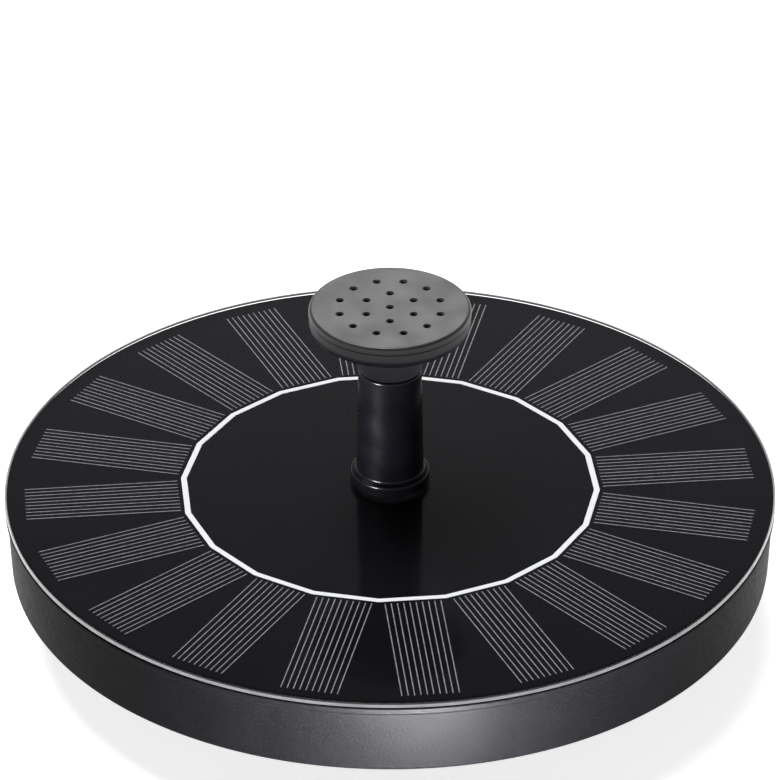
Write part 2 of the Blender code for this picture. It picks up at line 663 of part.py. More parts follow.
def make_blade(index, hub_radius, shroud_z):
    """A swept-back blade: an upright curved sheet, thickened."""
    start, end = hub_radius - EMBED, IMPELLER_RADIUS - BLADE_THICKNESS
    sweep = math.radians(38.0)
    steps = 5
    work = bmesh.new()
    foot = []
    for k in range(steps + 1):
        t = k / steps
        angle = 2 * math.pi * index / BLADE_COUNT - sweep * t
        x, y = polar(start + (end - start) * t, angle)
        foot.append(work.verts.new((x, y, IMPELLER_LOW_Z)))
    edges = [work.edges.new(pair) for pair in zip(foot, foot[1:])]
    raised = bmesh.ops.extrude_edge_only(work, edges=edges)["geom"]
    upper = [g for g in raised if isinstance(g, bmesh.types.BMVert)]
    bmesh.ops.translate(work, vec=(0, 0, shroud_z + EMBED - IMPELLER_LOW_Z), verts=upper)
    bmesh.ops.recalc_face_normals(work, faces=work.faces)
    mesh = bpy.data.meshes.new(f"tool_blade_{index}")
    work.to_mesh(mesh)
    work.free()
    blade = bpy.data.objects.new(f"tool_blade_{index}", mesh)
    blade.location = (*PUMP_CENTRE, 0.0)
    thick = blade.modifiers.new("thickness", "SOLIDIFY")
    thick.thickness = BLADE_THICKNESS
    thick.offset = 0.0
    PARTS.objects.link(blade)
    return place(blade, tool=True)


def make_shaft():
    top = CAN_TOP_Z - CAN_WALL - THIN_GAP
    low = PLATE_TOP_Z - SEAT_WALL + THIN_GAP
    cylinder("shaft", SHAFT_RADIUS, low, top, 24, CERAMIC, PUMP_CENTRE)
    ring("shaft_seat_upper", SHAFT_BORE, SEAT_RADIUS, CAN_INNER_Z, top, 24, BLACK_RUBBER, PUMP_CENTRE)
    ring("shaft_seat_lower", SHAFT_BORE, SEAT_RADIUS, low, PLATE_TOP_Z, 24, BLACK_RUBBER, PUMP_CENTRE)
    washer_low = PLATE_TOP_Z + THIN_GAP
    washer_top = IMPELLER_LOW_Z - THIN_GAP
    ring("thrust_washer", SHAFT_BORE, BUSH_RADIUS, washer_low, washer_top, 24, CERAMIC, PUMP_CENTRE)


def stator_outline():
    """The lamination's inner outline: pole shoes round the can, joined to the ring by straight necks."""
    tip = CAN_RADIUS + GAP
    shoe = tip + SHOE_THICKNESS
    inner = STATOR_RADIUS - STATOR_RING
    half = POLE_WIDTH / 2
    spread = math.radians(SHOE_HALF_ANGLE_DEG)
    points = []
    for k in range(POLE_COUNT):
        axis = PUMP_DIRECTION + math.pi / 4 + 2 * math.pi * k / POLE_COUNT
        following = 2 * math.pi / POLE_COUNT
        points.append(polar(shoe, axis - spread))
        points += [polar(tip, axis + spread * (i / 3 - 1)) for i in range(7)]
        points.append(polar(shoe, axis + spread))
        points.append(polar(shoe, axis + math.asin(half / shoe)))
        gap_start = math.asin(half / inner)
        points += [polar(inner, axis + gap_start + (following - 2 * gap_start) * i / 6) for i in range(7)]
        points.append(polar(shoe, axis + following - math.asin(half / shoe)))
    return points


def make_stator():
    data = bpy.data.curves.new("stator_core", "CURVE")
    data.dimensions = "2D"
    data.fill_mode = "BOTH"
    data.extrude = STATOR_STACK / 2
    rim = [polar(STATOR_RADIUS, 2 * math.pi * i / 40) for i in range(40)]
    for outline in (rim, stator_outline()):
        spline = data.splines.new("POLY")
        spline.use_cyclic_u = True
        spline.points.add(len(outline) - 1)
        for point, (x, y) in zip(spline.points, outline):
            point.co = (x, y, 0.0, 1.0)
    core = bpy.data.objects.new("stator_core", data)
    middle = FLOAT_FLOOR_Z + GAP + COIL_BUILD + STATOR_STACK / 2
    core.location = (*PUMP_CENTRE, middle)
    PARTS.objects.link(core)
    place(core, LAMINATION)
    make_coils(middle)


def make_coils(middle):
    size = (COIL_OUTER - COIL_INNER, COIL_WIDTH, STATOR_STACK + 2 * COIL_BUILD)
    hole = (size[0] + 2 * THROUGH, POLE_WIDTH + 2 * THIN_GAP, STATOR_STACK + 2 * THIN_GAP)
    for k in range(POLE_COUNT):
        axis = PUMP_DIRECTION + math.pi / 4 + 2 * math.pi * k / POLE_COUNT
        at = (*polar(COIL_MIDDLE, axis, PUMP_CENTRE), middle)
        coil = box(f"stator_coil_{k + 1}", size, at, COPPER)
        coil.rotation_euler.z = axis
        rounding = coil.modifiers.new("rounding", "BEVEL")
        rounding.width = 0.0006
        rounding.segments = 1
        rounding.limit_method = "ANGLE"
        window = box(f"tool_coil_window_{k + 1}", hole, at, tool=True)
        window.rotation_euler.z = axis
        cut(coil, window)
    sensor_distance = CAN_RADIUS + 2 * GAP + SHOE_THICKNESS + HALL_SENSOR[0] / 2
    sensor_at = polar(sensor_distance, PUMP_DIRECTION, PUMP_CENTRE)
    hall = box("hall_sensor", HALL_SENSOR, (*sensor_at, middle + STATOR_STACK / 2), EPOXY_BLACK)
    hall.rotation_euler.z = PUMP_DIRECTION


def make_driver():
    """The driver board lies on the float's ribs and posts, beside the stator."""
    x, y = DRIVER_CENTRE
    low = FLOAT_FLOOR_Z + RIB_HEIGHT + GAP
    top = low + DRIVER_THICKNESS
    board = (DRIVER_LENGTH, DRIVER_WIDTH, DRIVER_THICKNESS)
    box("driver_board", board, (x, y, (low + top) / 2), GREEN_BOARD)
    on_board = top + THIN_GAP
    for name, size, offset in (("driver_chip", CHIP, CHIP_OFFSET), ("blocking_diode", DIODE, DIODE_OFFSET)):
        box(name, size, (x + offset[0], y + offset[1], on_board + size[2] / 2), EPOXY_BLACK)
    capacitor_at = (x + CAPACITOR_OFFSET[0], y + CAPACITOR_OFFSET[1])
    capacitor_top = BOARD_LOW_Z - GAP
    cylinder("smoothing_capacitor", CAPACITOR_RADIUS, on_board, capacitor_top, 20, ALUMINIUM, capacitor_at)
    make_leads(x, y, top + GAP)


def make_leads(x, y, pad):
    """Two leads come down from the panel, and two run on to the nearest coil."""
    under = BOARD_LOW_Z - GAP
    free = under - pad
    for name, side, material in (("lead_positive", 0, RED_LEAD), ("lead_negative", 1, BLACK_LEAD)):
        start = x - 0.0010 + 0.0030 * side
        route = [
            (start, y - 0.0050, pad),
            (start, y - 0.0052, pad + 0.32 * free),
            (start + 0.0008, y - 0.0078, pad + 0.58 * free),
            (start + 0.0020, y - 0.0120, pad + 0.50 * free),
            (start + 0.0026, y - 0.0156, pad + 0.56 * free),
            (start + 0.0030, y - 0.0176, pad + 0.82 * free),
            (start + 0.0030, y - 0.0178, under),
        ]
        wire(name, route, LEAD_RADIUS, material)
    coil_top = BOARD_LOW_Z - LEAD_HEADROOM
    coil_x, coil_y = polar(COIL_MIDDLE, LEAD_COIL_DIRECTION, PUMP_CENTRE)
    board_x = x - DRIVER_LENGTH / 2 + 0.0016
    for name, side in (("phase_lead_1", -1), ("phase_lead_2", 1)):
        across = 0.0012 * side
        route = [
            (coil_x, coil_y + across, coil_top + GAP),
            (coil_x + 0.0004, coil_y + across, coil_top + 0.46 * LEAD_HEADROOM),
            (coil_x + 0.0030, coil_y + across, coil_top + 0.58 * LEAD_HEADROOM),
            (coil_x + 0.0070, coil_y + 0.0030 + across, coil_top + 0.20 * LEAD_HEADROOM),
            (board_x - 0.0012, y - 0.0020 + 2 * across, pad + 0.34 * free),
            (board_x, y - 0.0020 + 2 * across, pad + 0.22 * free),
            (board_x + 0.0002, y - 0.0020 + 2 * across, pad),
        ]
        wire(name, route, PHASE_LEAD_RADIUS, PURPLE_LEAD)


def make_screws():
    for number, angle in enumerate(SCREW_ANGLES_DEG, 1):
        centre = polar(SCREW_CIRCLE, math.radians(angle))
        head_top = ROOF_Z - THIN_GAP
        head_low = head_top - SCREW_HEAD_HEIGHT
        recess = 0.0010
        profile = [
            (0.0, head_top + SCREW_LENGTH),
            (SCREW_SHANK * 0.5, head_top + SCREW_LENGTH),
            (SCREW_SHANK, head_top + SCREW_LENGTH - SCREW_SHANK),
            (SCREW_SHANK, head_top),
            (SCREW_HEAD_RADIUS, head_top),
            (SCREW_HEAD_RADIUS, head_low + 0.0005),
            (SCREW_HEAD_RADIUS - 0.0006, head_low),
            (0.0, head_low),
        ]
        screw = turned(f"pump_screw_{number}", profile, SEGMENTS_SMALL, STEEL, centre, closed=False)
        slot = (SCREW_HEAD_RADIUS * 1.3, 0.0006, recess)
        at = (*centre, head_low)
        cross = [(slot, (0, 0, 0), 0.0), ((slot[1], slot[0], slot[2]), (0, 0, 0), 0.0)]
        for part, entry in enumerate(cross):
            cut(screw, boxes(f"tool_cross_{number}_{part}", [entry], tool=True, origin=at))
    inner = SCREW_CIRCLE + SCREW_HEAD_RADIUS
    low = FLANGE_TOP_Z + THIN_GAP
    ring("flange_gasket", inner, FLANGE_RADIUS, low, low + GASKET_THICKNESS, SEGMENTS_PUMP, BLACK_RUBBER)


# ---------------------------------------------------------------- strainer


def make_strainer():
    top = FLOAT_LOW_Z - GAP
    corner = 0.0008
    foot_inner = STRAINER_RADIUS - FOOT_RING_WIDTH
    profile = [
        (0.0, STRAINER_FLOOR_Z),
        (STRAINER_BORE - corner, STRAINER_FLOOR_Z),
        (STRAINER_BORE, STRAINER_FLOOR_Z + corner),
        (STRAINER_BORE, top),
        (STRAINER_RADIUS, top),
        (STRAINER_RADIUS, corner),
        (STRAINER_RADIUS - corner, 0.0),
        (foot_inner, 0.0),
        (foot_inner - FOOT_RING_HEIGHT, FOOT_RING_HEIGHT),
        (0.0, FOOT_RING_HEIGHT),
    ]
    strainer = turned("strainer_cover", profile, SEGMENTS_PUMP, BLACK_PUMP, closed=False)
    side_low, side_high = STRAINER_FLOOR_Z + 0.0012, ROOF_Z - 0.0010
    side = (3 * STRAINER_WALL, SLOT_WIDTH, side_high - side_low)
    side_at = (STRAINER_BORE + STRAINER_WALL / 2, 0.0, (side_low + side_high) / 2)
    floor_inner, floor_outer = 0.0080, foot_inner - 2 * FOOT_RING_HEIGHT
    floor = (floor_outer - floor_inner, FLOOR_SLOT_WIDTH, STRAINER_FLOOR + 2 * THROUGH)
    floor_at = ((floor_inner + floor_outer) / 2, 0.0, FOOT_RING_HEIGHT + STRAINER_FLOOR / 2)
    half_step = math.pi / SLOT_COUNT
    turns = [2 * half_step * i for i in range(SLOT_COUNT)]
    sides = [(side, side_at, turn + half_step) for turn in turns]
    floors = [(floor, floor_at, turn) for turn in turns[::2]]
    cut(strainer, boxes("tool_side_slots", sides, tool=True), boxes("tool_floor_slots", floors, tool=True))


# ---------------------------------------------------------------- nozzle


def make_stem():
    flange_low = DECK_Z + THIN_GAP
    flange_top = flange_low + STEM_FLANGE_THICKNESS
    shoulder = NECK_LOW_Z - GAP
    spigot_top = BOWL_LOW_Z - GAP
    rounding = STEM_FLANGE_ROUNDING
    fillet = STEM_FLANGE_RADIUS - STEM_FOOT_RADIUS - rounding / 2
    chamfer = 0.0004
    profile = [
        (STEM_SPIGOT_RADIUS - chamfer, spigot_top),
        (STEM_SPIGOT_RADIUS, spigot_top - chamfer),
        (STEM_SPIGOT_RADIUS, shoulder),
        (STEM_TOP_RADIUS - chamfer, shoulder),
        (STEM_TOP_RADIUS, shoulder - chamfer),
        *arc(STEM_FOOT_RADIUS + fillet, flange_top + fillet, fillet, 180, 270, 2),
        *arc(STEM_FLANGE_RADIUS - rounding, flange_top - rounding, rounding, 80, 0, 2),
        (STEM_FLANGE_RADIUS, flange_low),
        (STEM_SPIGOT_RADIUS, flange_low),
        (STEM_SPIGOT_RADIUS, SPIGOT_LOW_Z + chamfer),
        (STEM_SPIGOT_RADIUS - chamfer, SPIGOT_LOW_Z),
        (STEM_BORE, SPIGOT_LOW_Z),
        (STEM_BORE, spigot_top),
    ]
    turned("nozzle_stem", profile, SEGMENTS_NOZZLE, BLACK_GLOSS)


def make_head():
    neck_radius = STEM_TOP_RADIUS + THIN_GAP
    plate_low = HEAD_TOP_Z - SPRAY_PLATE
    cup_radius = HEAD_RADIUS - THIN_GAP
    inner_radius = cup_radius - HEAD_WALL
    bend = 0.0016
    profile = [
        (cup_radius, plate_low - THIN_GAP),
        (cup_radius - THIN_GAP, BOWL_TOP_Z + bend / 2),
        (cup_radius - bend / 2, BOWL_TOP_Z - bend / 3),
        (cup_radius - 2 * bend, BOWL_TOP_Z - BOWL_HEIGHT * 0.36),
        ((BOWL_FOOT_RADIUS + cup_radius) / 2 - bend, BOWL_TOP_Z - BOWL_HEIGHT * 0.68),
        (BOWL_FOOT_RADIUS, BOWL_LOW_Z),
        (neck_radius, BOWL_LOW_Z - (BOWL_FOOT_RADIUS - neck_radius) / 2),
        (neck_radius, NECK_LOW_Z),
        (SOCKET_BORE, NECK_LOW_Z),
        (SOCKET_BORE, BOWL_LOW_Z + HEAD_WALL / 2),
        (inner_radius, BOWL_TOP_Z),
        (inner_radius, plate_low - THIN_GAP),
    ]
    turned("head_cup", profile, SEGMENTS_NOZZLE, BLACK_SATIN)
    rounding = SPRAY_PLATE_ROUNDING
    lip_radius = inner_radius - PUSH_FIT
    lip_low = plate_low - HEAD_WALL
    plate_profile = [
        (0.0, HEAD_TOP_Z),
        *arc(HEAD_RADIUS - rounding, HEAD_TOP_Z - rounding, rounding, 90, 0, 4),
        (HEAD_RADIUS, plate_low),
        (lip_radius, plate_low),
        (lip_radius, lip_low),
        (lip_radius - HEAD_WALL, lip_low),
        (lip_radius - HEAD_WALL, plate_low),
        (0.0, plate_low),
    ]
    plate = turned("spray_plate", plate_profile, SEGMENTS_NOZZLE, BLACK_SATIN, closed=False)
    cut(plate, make_spray_cutter(plate_low))


def make_spray_cutter(plate_low):
    """All the spray holes as one tool: each leans outwards by its ring's angle."""
    work = bmesh.new()
    middle = (plate_low + HEAD_TOP_Z) / 2
    for count, circle, lean in SPRAY_RINGS:
        for i in range(count):
            turn = 2 * math.pi * (i + 0.5) / count
            made = bmesh.ops.create_cone(
                work,
                cap_ends=True,
                segments=6,
                radius1=SPRAY_HOLE_RADIUS,
                radius2=SPRAY_HOLE_RADIUS,
                depth=SPRAY_PLATE + 2 * THROUGH,
            )["verts"]
            tilted = Matrix.Rotation(math.radians(lean), 3, "Y")
            bmesh.ops.rotate(work, cent=(0, 0, 0), matrix=tilted, verts=made)
            bmesh.ops.translate(work, vec=(circle, 0, middle), verts=made)
            bmesh.ops.rotate(work, cent=(0, 0, 0), matrix=turn_about_z(turn), verts=made)
    mesh = bpy.data.meshes.new("tool_spray_holes")
    work.to_mesh(mesh)
    work.free()
    obj = bpy.data.objects.new("tool_spray_holes", mesh)
    PARTS.objects.link(obj)
    return place(obj, tool=True)


# ---------------------------------------------------------------- the whole object

clear_scene()
PARTS = collection("solar_fountain_pump")
TOOLS = collection("tools")
BLACK_SHELL = plastic("black_shell", (0.020, 0.020, 0.022), 0.45)
BLACK_PUMP = plastic("black_pump", (0.022, 0.022, 0.024), 0.50)
BLACK_GLOSS = plastic("black_gloss", (0.012, 0.012, 0.014), 0.18)
BLACK_SATIN = plastic("black_satin", (0.030, 0.030, 0.033), 0.35)
BLACK_BOARD = plastic("black_board", (0.012, 0.012, 0.014), 0.40)
BLACK_RUBBER = plastic("black_rubber", (0.020, 0.020, 0.020), 0.80)
CLEAR_RESIN = plastic("clear_resin", (0.90, 0.92, 0.95), 0.05, alpha=0.15)
SILICON = plastic("silicon", (0.012, 0.013, 0.022), 0.25)
WHITE_RIBBON = plastic("white_ribbon", (0.90, 0.90, 0.90), 0.40)
WHITE_IMPELLER = plastic("white_impeller", (0.80, 0.80, 0.78), 0.40)
FERRITE = plastic("ferrite", (0.060, 0.058, 0.056), 0.60)
CERAMIC = plastic("ceramic", (0.85, 0.84, 0.80), 0.25)
LAMINATION = plastic("lamination", (0.35, 0.36, 0.38), 0.45, metallic=1.0)
COPPER = plastic("copper", (0.72, 0.30, 0.12), 0.35, metallic=1.0)
STEEL = plastic("steel", (0.60, 0.60, 0.62), 0.30, metallic=1.0)
ALUMINIUM = plastic("aluminium", (0.75, 0.75, 0.77), 0.35, metallic=1.0)
GREEN_BOARD = plastic("green_board", (0.015, 0.120, 0.040), 0.45)
EPOXY_BLACK = plastic("epoxy_black", (0.025, 0.025, 0.027), 0.55)
PURPLE_LEAD = plastic("purple_lead", (0.16, 0.05, 0.22), 0.45)
RED_LEAD = plastic("red_lead", (0.55, 0.02, 0.02), 0.45)
BLACK_LEAD = plastic("black_lead", (0.02, 0.02, 0.02), 0.45)

make_float_wall()
make_float_base()
make_panel()
make_pump_body()
make_volute_cover()
make_rotor()
make_shaft()
make_stator()
make_driver()
make_screws()
make_strainer()
make_stem()
make_head()
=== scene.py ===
"""Looks of a floating solar fountain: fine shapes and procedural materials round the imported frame.

Everything is in metres in the frame's own axes: +Z up, the nozzle on the Z axis, the foot at z = 0.
Places come from the frame's boxes. The named sizes below are those that a box can't give.
"""

import json
import math

import bmesh
import bpy
from mathutils import Matrix, Vector


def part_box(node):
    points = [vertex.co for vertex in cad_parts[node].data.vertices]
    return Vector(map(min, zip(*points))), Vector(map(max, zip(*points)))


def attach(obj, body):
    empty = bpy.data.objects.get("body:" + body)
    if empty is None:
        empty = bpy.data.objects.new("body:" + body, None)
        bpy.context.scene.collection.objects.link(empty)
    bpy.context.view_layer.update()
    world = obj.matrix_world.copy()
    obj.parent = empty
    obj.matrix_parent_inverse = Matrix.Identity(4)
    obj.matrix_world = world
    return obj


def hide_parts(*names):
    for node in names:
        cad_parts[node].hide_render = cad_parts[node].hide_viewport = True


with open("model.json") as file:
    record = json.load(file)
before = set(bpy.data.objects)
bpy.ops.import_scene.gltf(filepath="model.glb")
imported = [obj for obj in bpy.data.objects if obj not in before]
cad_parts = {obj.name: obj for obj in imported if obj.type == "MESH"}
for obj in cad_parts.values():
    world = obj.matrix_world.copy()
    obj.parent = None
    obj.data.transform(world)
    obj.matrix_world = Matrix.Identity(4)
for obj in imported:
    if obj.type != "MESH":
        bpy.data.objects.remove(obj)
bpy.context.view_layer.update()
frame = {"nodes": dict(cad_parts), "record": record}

# ---------------------------------------------------------------- sizes

# float and cover
COVER_ROUNDING = 0.0009
HIGHLIGHT_BAND = 0.00045  # height and width of the pale band round the cover's foot, a painted highlight along its edge
RIM_STEP = 0.0004  # the rim stands proud of the wall
RIM_HEIGHT = 0.0012
WALL = 0.0024
WALL_TAPER = 0.0005
FOOT_CHAMFER = 0.0006
FOOT_LIP_WIDTH = 0.0020
FOOT_LIP_THICKNESS = 0.0010
FLOAT_FLOOR = 0.0020
SHELF_WIDTH = 0.0020
SHELF_THICKNESS = 0.0014

# solar cells
FINGER_COUNT = 10
FINGER_PITCH = 0.00125
FINGER_WIDTH = 0.00021
FINGER_RISE = 0.00005  # above the cell
FINGER_INSET = 0.0003  # from the ends of a cell
CELL_SHEET = 0.00004  # how far the cells stand out of the layer that they lie on
BED_THICKNESS = 0.00011
RIBBON_APOTHEM = 0.0425
RIBBON_WIDTH = 0.0012

# nozzle
STEM_TOP_RADIUS = 0.0065
STEM_FOOT_RADIUS = 0.0070
COLLAR_THICKNESS = 0.0026
STEM_SPIGOT_RADIUS = 0.0045
STEM_BORE = 0.0031
SOCKET_BORE = 0.0047
HEAD_WALL = 0.0013
HEAD_SIDE = 0.0044
BOWL_HEIGHT = 0.0052
BOWL_FOOT_RADIUS = 0.0078
SPRAY_PLATE = 0.0016
SPRAY_HOLE_RADIUS = 0.00055
SPRAY_RINGS = ((1, 0.0, 0.0), (6, 0.0055, 3.0), (12, 0.0105, 6.0))  # holes, circle radius, outward lean

# strainer
STRAINER_WALL = 0.0016
STRAINER_FLOOR = 0.0016
FOOT_RING_WIDTH = 0.0040
FOOT_RING_HEIGHT = 0.0008
SLOT_COUNT = 24
SLOT_WIDTH = 0.0022
FLOOR_SLOT_WIDTH = 0.0018
FLOOR_SLOT_START = 0.0080

THIN_GAP = 0.0001
THROUGH = 0.0010  # how far a cutter stands out of the wall it cuts
LEVEL = 0.99999  # a face whose normal's height is past this lies flat
SUPPORT = 1.35  # a rounding's extra loop, in its own reach, keeps the flat beside it flat

SEGMENTS_DISC = 240
SEGMENTS_STRAINER = 144
SEGMENTS_NOZZLE = 96

# ---------------------------------------------------------------- places taken from the frame

COVER_LOW, COVER_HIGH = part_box("panel_cover")
DECK_Z = COVER_HIGH.z
DISC_RADIUS = COVER_HIGH.x
COVER_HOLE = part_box("riser_seal")[1].x
FLOAT_LOW_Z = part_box("float_wall")[0].z
RIM_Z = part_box("float_wall")[1].z
SHELF_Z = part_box("panel_seal")[0].z - THIN_GAP
FLOAT_BORE = DISC_RADIUS - RIM_STEP - WALL
STEM_LOW, STEM_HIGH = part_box("nozzle_stem")
HEAD_LOW, HEAD_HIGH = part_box("head_cup")
PLATE_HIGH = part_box("spray_plate")[1]
STRAINER_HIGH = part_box("strainer_cover")[1]
ROTOR_LOW, ROTOR_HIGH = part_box("rotor_magnet")
CELLS = [f"solar_cell_{number:02d}" for number in range(1, 21)]
BED_TOP_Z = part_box(CELLS[0])[1].z - CELL_SHEET
PUMP_AXIS = ((ROTOR_LOW.x + ROTOR_HIGH.x) / 2, (ROTOR_LOW.y + ROTOR_HIGH.y) / 2)

# ---------------------------------------------------------------- materials


class Look:
    """A Principled material, with short calls for the nodes that vary it over the surface."""

    def __init__(self, name, colour, roughness, metallic=0.0, specular=0.5):
        self.material = bpy.data.materials.new(name)
        self.material.use_nodes = True
        self.tree = self.material.node_tree
        self.shader = self.tree.nodes["Principled BSDF"]
        self.shader.inputs["Base Color"].default_value = (*colour, 1.0)
        self.shader.inputs["Roughness"].default_value = roughness
        self.shader.inputs["Metallic"].default_value = metallic
        self.shader.inputs["Specular IOR Level"].default_value = specular
        self.where = self.tree.nodes.new("ShaderNodeTexCoord").outputs["Object"]
        self.colour = (*colour, 1.0)
        self.normal = None

    def feed(self, socket, value):
        if isinstance(value, bpy.types.NodeSocket):
            self.tree.links.new(value, socket)
        else:
            socket.default_value = value

    def mapped(self, stretch, centre=(0.0, 0.0)):
        """Object coordinates moved to a centre and scaled along each axis."""
        node = self.tree.nodes.new("ShaderNodeMapping")
        node.vector_type = "POINT"
        self.tree.links.new(self.where, node.inputs["Vector"])
        node.inputs["Scale"].default_value = stretch
        node.inputs["Location"].default_value = (-centre[0] * stretch[0], -centre[1] * stretch[1], 0.0)
        return node.outputs["Vector"]

    def noise(self, size, detail=3.0, stretch=None):
        """Noise from 0 to 1 with patches about size across."""
        node = self.tree.nodes.new("ShaderNodeTexNoise")
        self.tree.links.new(self.mapped(stretch) if stretch else self.where, node.inputs["Vector"])
        node.inputs["Scale"].default_value = 1.0 / size
        node.inputs["Detail"].default_value = detail
        return node.outputs["Fac"]

    def cells(self, size, output="Distance"):
        """Distance from the middles of scattered cells about size across, or each cell's own colour."""
        node = self.tree.nodes.new("ShaderNodeTexVoronoi")
        self.tree.links.new(self.where, node.inputs["Vector"])
        node.inputs["Scale"].default_value = 1.0 / size
        return node.outputs[output]

    def waves(self, pitch, direction="Z", kind="BANDS", centre=(0.0, 0.0), warp=0.0):
        """Bands or rings from 0 to 1, one every pitch."""
        node = self.tree.nodes.new("ShaderNodeTexWave")
        node.wave_type = kind
        if kind == "BANDS":
            node.bands_direction = direction
        else:
            node.rings_direction = direction
        self.tree.links.new(self.mapped((1.0, 1.0, 1.0), centre), node.inputs["Vector"])
        node.inputs["Scale"].default_value = 2 * math.pi / (20.0 * pitch)
        node.inputs["Distortion"].default_value = warp
        node.inputs["Detail"].default_value = 1.0
        return node.outputs["Fac"]

    def between(self, source, low, high, to_low=0.0, to_high=1.0):
        node = self.tree.nodes.new("ShaderNodeMapRange")
        self.tree.links.new(source, node.inputs["Value"])
        for name, value in zip(("From Min", "From Max", "To Min", "To Max"), (low, high, to_low, to_high)):
            node.inputs[name].default_value = value
        return node.outputs["Result"]

    def tint(self, mask, colour):
        """Mixes a second colour over the first where mask is 1."""
        node = self.tree.nodes.new("ShaderNodeMix")
        node.data_type = "RGBA"
        self.feed(node.inputs["Factor"], mask)
        self.feed(node.inputs["A"], self.colour)
        self.feed(node.inputs["B"], (*colour, 1.0))
        self.colour = node.outputs["Result"]
        self.tree.links.new(self.colour, self.shader.inputs["Base Color"])
        return self

    def shine(self, source, rough_low, rough_high):
        """Roughness follows source, which runs mostly from 0.3 to 0.7."""
        made = self.between(source, 0.3, 0.7, rough_low, rough_high)
        self.tree.links.new(made, self.shader.inputs["Roughness"])
        return self

    def bump(self, source, depth):
        node = self.tree.nodes.new("ShaderNodeBump")
        node.inputs["Distance"].default_value = depth
        self.tree.links.new(source, node.inputs["Height"])
        if self.normal is not None:
            self.tree.links.new(self.normal, node.inputs["Normal"])
        self.normal = node.outputs["Normal"]
        self.tree.links.new(self.normal, self.shader.inputs["Normal"])
        return self


def moulded(name, colour, roughness, grain, depth, specular=0.5):
    """Moulded plastic: fine grain, slow changes of tone and gloss, and faint paler rubs."""
    look = Look(name, colour, roughness, specular=specular)
    paler = tuple(channel * 1.9 + 0.0010 for channel in colour)
    look.tint(look.between(look.noise(0.012), 0.35, 0.75, 0.0, 0.6), paler)
    rubbed = look.noise(0.0035, 6.0)
    look.tint(look.between(rubbed, 0.62, 0.80, 0.0, 0.5), tuple(channel * 2.6 for channel in colour))
    look.shine(look.noise(0.007, 4.0), roughness - 0.06, roughness + 0.06)
    return look.bump(look.noise(grain, 2.0), depth)


def shell_look():
    """Float wall: a spark-eroded texture, with pale specks painted into its colour as glints."""
    look = Look("spark_textured_shell", (0.0009, 0.0009, 0.0011), 0.50, specular=0.025)
    look.tint(look.between(look.noise(0.010, 4.0), 0.40, 0.75, 0.0, 0.5), (0.0018, 0.0018, 0.0022))
    look.tint(look.between(look.noise(0.00036, 2.0), 0.45, 0.70, 0.0, 0.6), (0.0024, 0.0024, 0.0027))
    # Painted glints: pale specks in the base colour stand for light catching the grain.
    look.tint(look.between(look.cells(0.00026), 0.08, 0.28, 0.6, 0.0), (0.0065, 0.0065, 0.0072))
    look.shine(look.noise(0.0012, 4.0), 0.40, 0.50)
    look.bump(look.noise(0.00034, 3.0), 0.00005)
    return look.bump(look.cells(0.00040), 0.00002)


def clear_look():
    """Cast resin: see-through, with a glossy outer skin that mirrors more at a slant."""
    material = bpy.data.materials.new("clear_cast_resin")
    material.use_nodes = True
    tree = material.node_tree
    tree.nodes.clear()
    output = tree.nodes.new("ShaderNodeOutputMaterial")
    mix = tree.nodes.new("ShaderNodeMixShader")
    clear = tree.nodes.new("ShaderNodeBsdfTransparent")
    gloss = tree.nodes.new("ShaderNodeBsdfGlossy")
    slant = tree.nodes.new("ShaderNodeLayerWeight")
    fifth = tree.nodes.new("ShaderNodeMath")
    mirrored = tree.nodes.new("ShaderNodeMapRange")
    outside = tree.nodes.new("ShaderNodeMapRange")
    skin = tree.nodes.new("ShaderNodeMath")
    bump = tree.nodes.new("ShaderNodeBump")
    ripple = tree.nodes.new("ShaderNodeTexNoise")
    wiped = tree.nodes.new("ShaderNodeTexNoise")
    haze = tree.nodes.new("ShaderNodeMapRange")
    where = tree.nodes.new("ShaderNodeTexCoord").outputs["Object"]
    inner_side = tree.nodes.new("ShaderNodeNewGeometry").outputs["Backfacing"]
    clear.inputs["Color"].default_value = (0.97, 0.975, 0.98, 1.0)
    slant.inputs["Blend"].default_value = 0.5
    fifth.operation = "POWER"
    fifth.inputs[1].default_value = 5.0
    mirrored.inputs["To Min"].default_value = 0.045
    outside.inputs["To Min"].default_value = 1.0
    outside.inputs["To Max"].default_value = 0.0
    skin.operation = "MULTIPLY"
    ripple.inputs["Scale"].default_value = 1 / 0.012
    wiped.inputs["Scale"].default_value = 1 / 0.018
    wiped.inputs["Detail"].default_value = 6.0
    bump.inputs["Distance"].default_value = 0.000008
    for name, value in (("From Min", 0.35), ("From Max", 0.70), ("To Min", 0.05), ("To Max", 0.14)):
        haze.inputs[name].default_value = value
    for source, target in (
        (where, ripple.inputs["Vector"]),
        (where, wiped.inputs["Vector"]),
        (wiped.outputs["Fac"], haze.inputs["Value"]),
        (haze.outputs["Result"], gloss.inputs["Roughness"]),
        (ripple.outputs["Fac"], bump.inputs["Height"]),
        (bump.outputs["Normal"], gloss.inputs["Normal"]),
        (slant.outputs["Facing"], fifth.inputs[0]),
        (fifth.outputs["Value"], mirrored.inputs["Value"]),
        (inner_side, outside.inputs["Value"]),
        (mirrored.outputs["Result"], skin.inputs[0]),
        (outside.outputs["Result"], skin.inputs[1]),
        (skin.outputs["Value"], mix.inputs["Fac"]),
        (clear.outputs["BSDF"], mix.inputs[1]),
        (gloss.outputs["BSDF"], mix.inputs[2]),
        (mix.outputs["Shader"], output.inputs["Surface"]),
    ):
        tree.links.new(source, target)
    return material


def highlight_band_look():
    """Painted highlight: a pale band with a mottled tone that stands for the light caught along the cover's
    outer edge.
    """
    look = Look("painted_rim_highlight", (0.36, 0.36, 0.37), 0.34)
    look.tint(look.between(look.noise(0.0040, 4.0), 0.40, 0.75, 0.0, 0.8), (0.24, 0.24, 0.25))
    return look.bump(look.noise(0.0004), 0.00002)


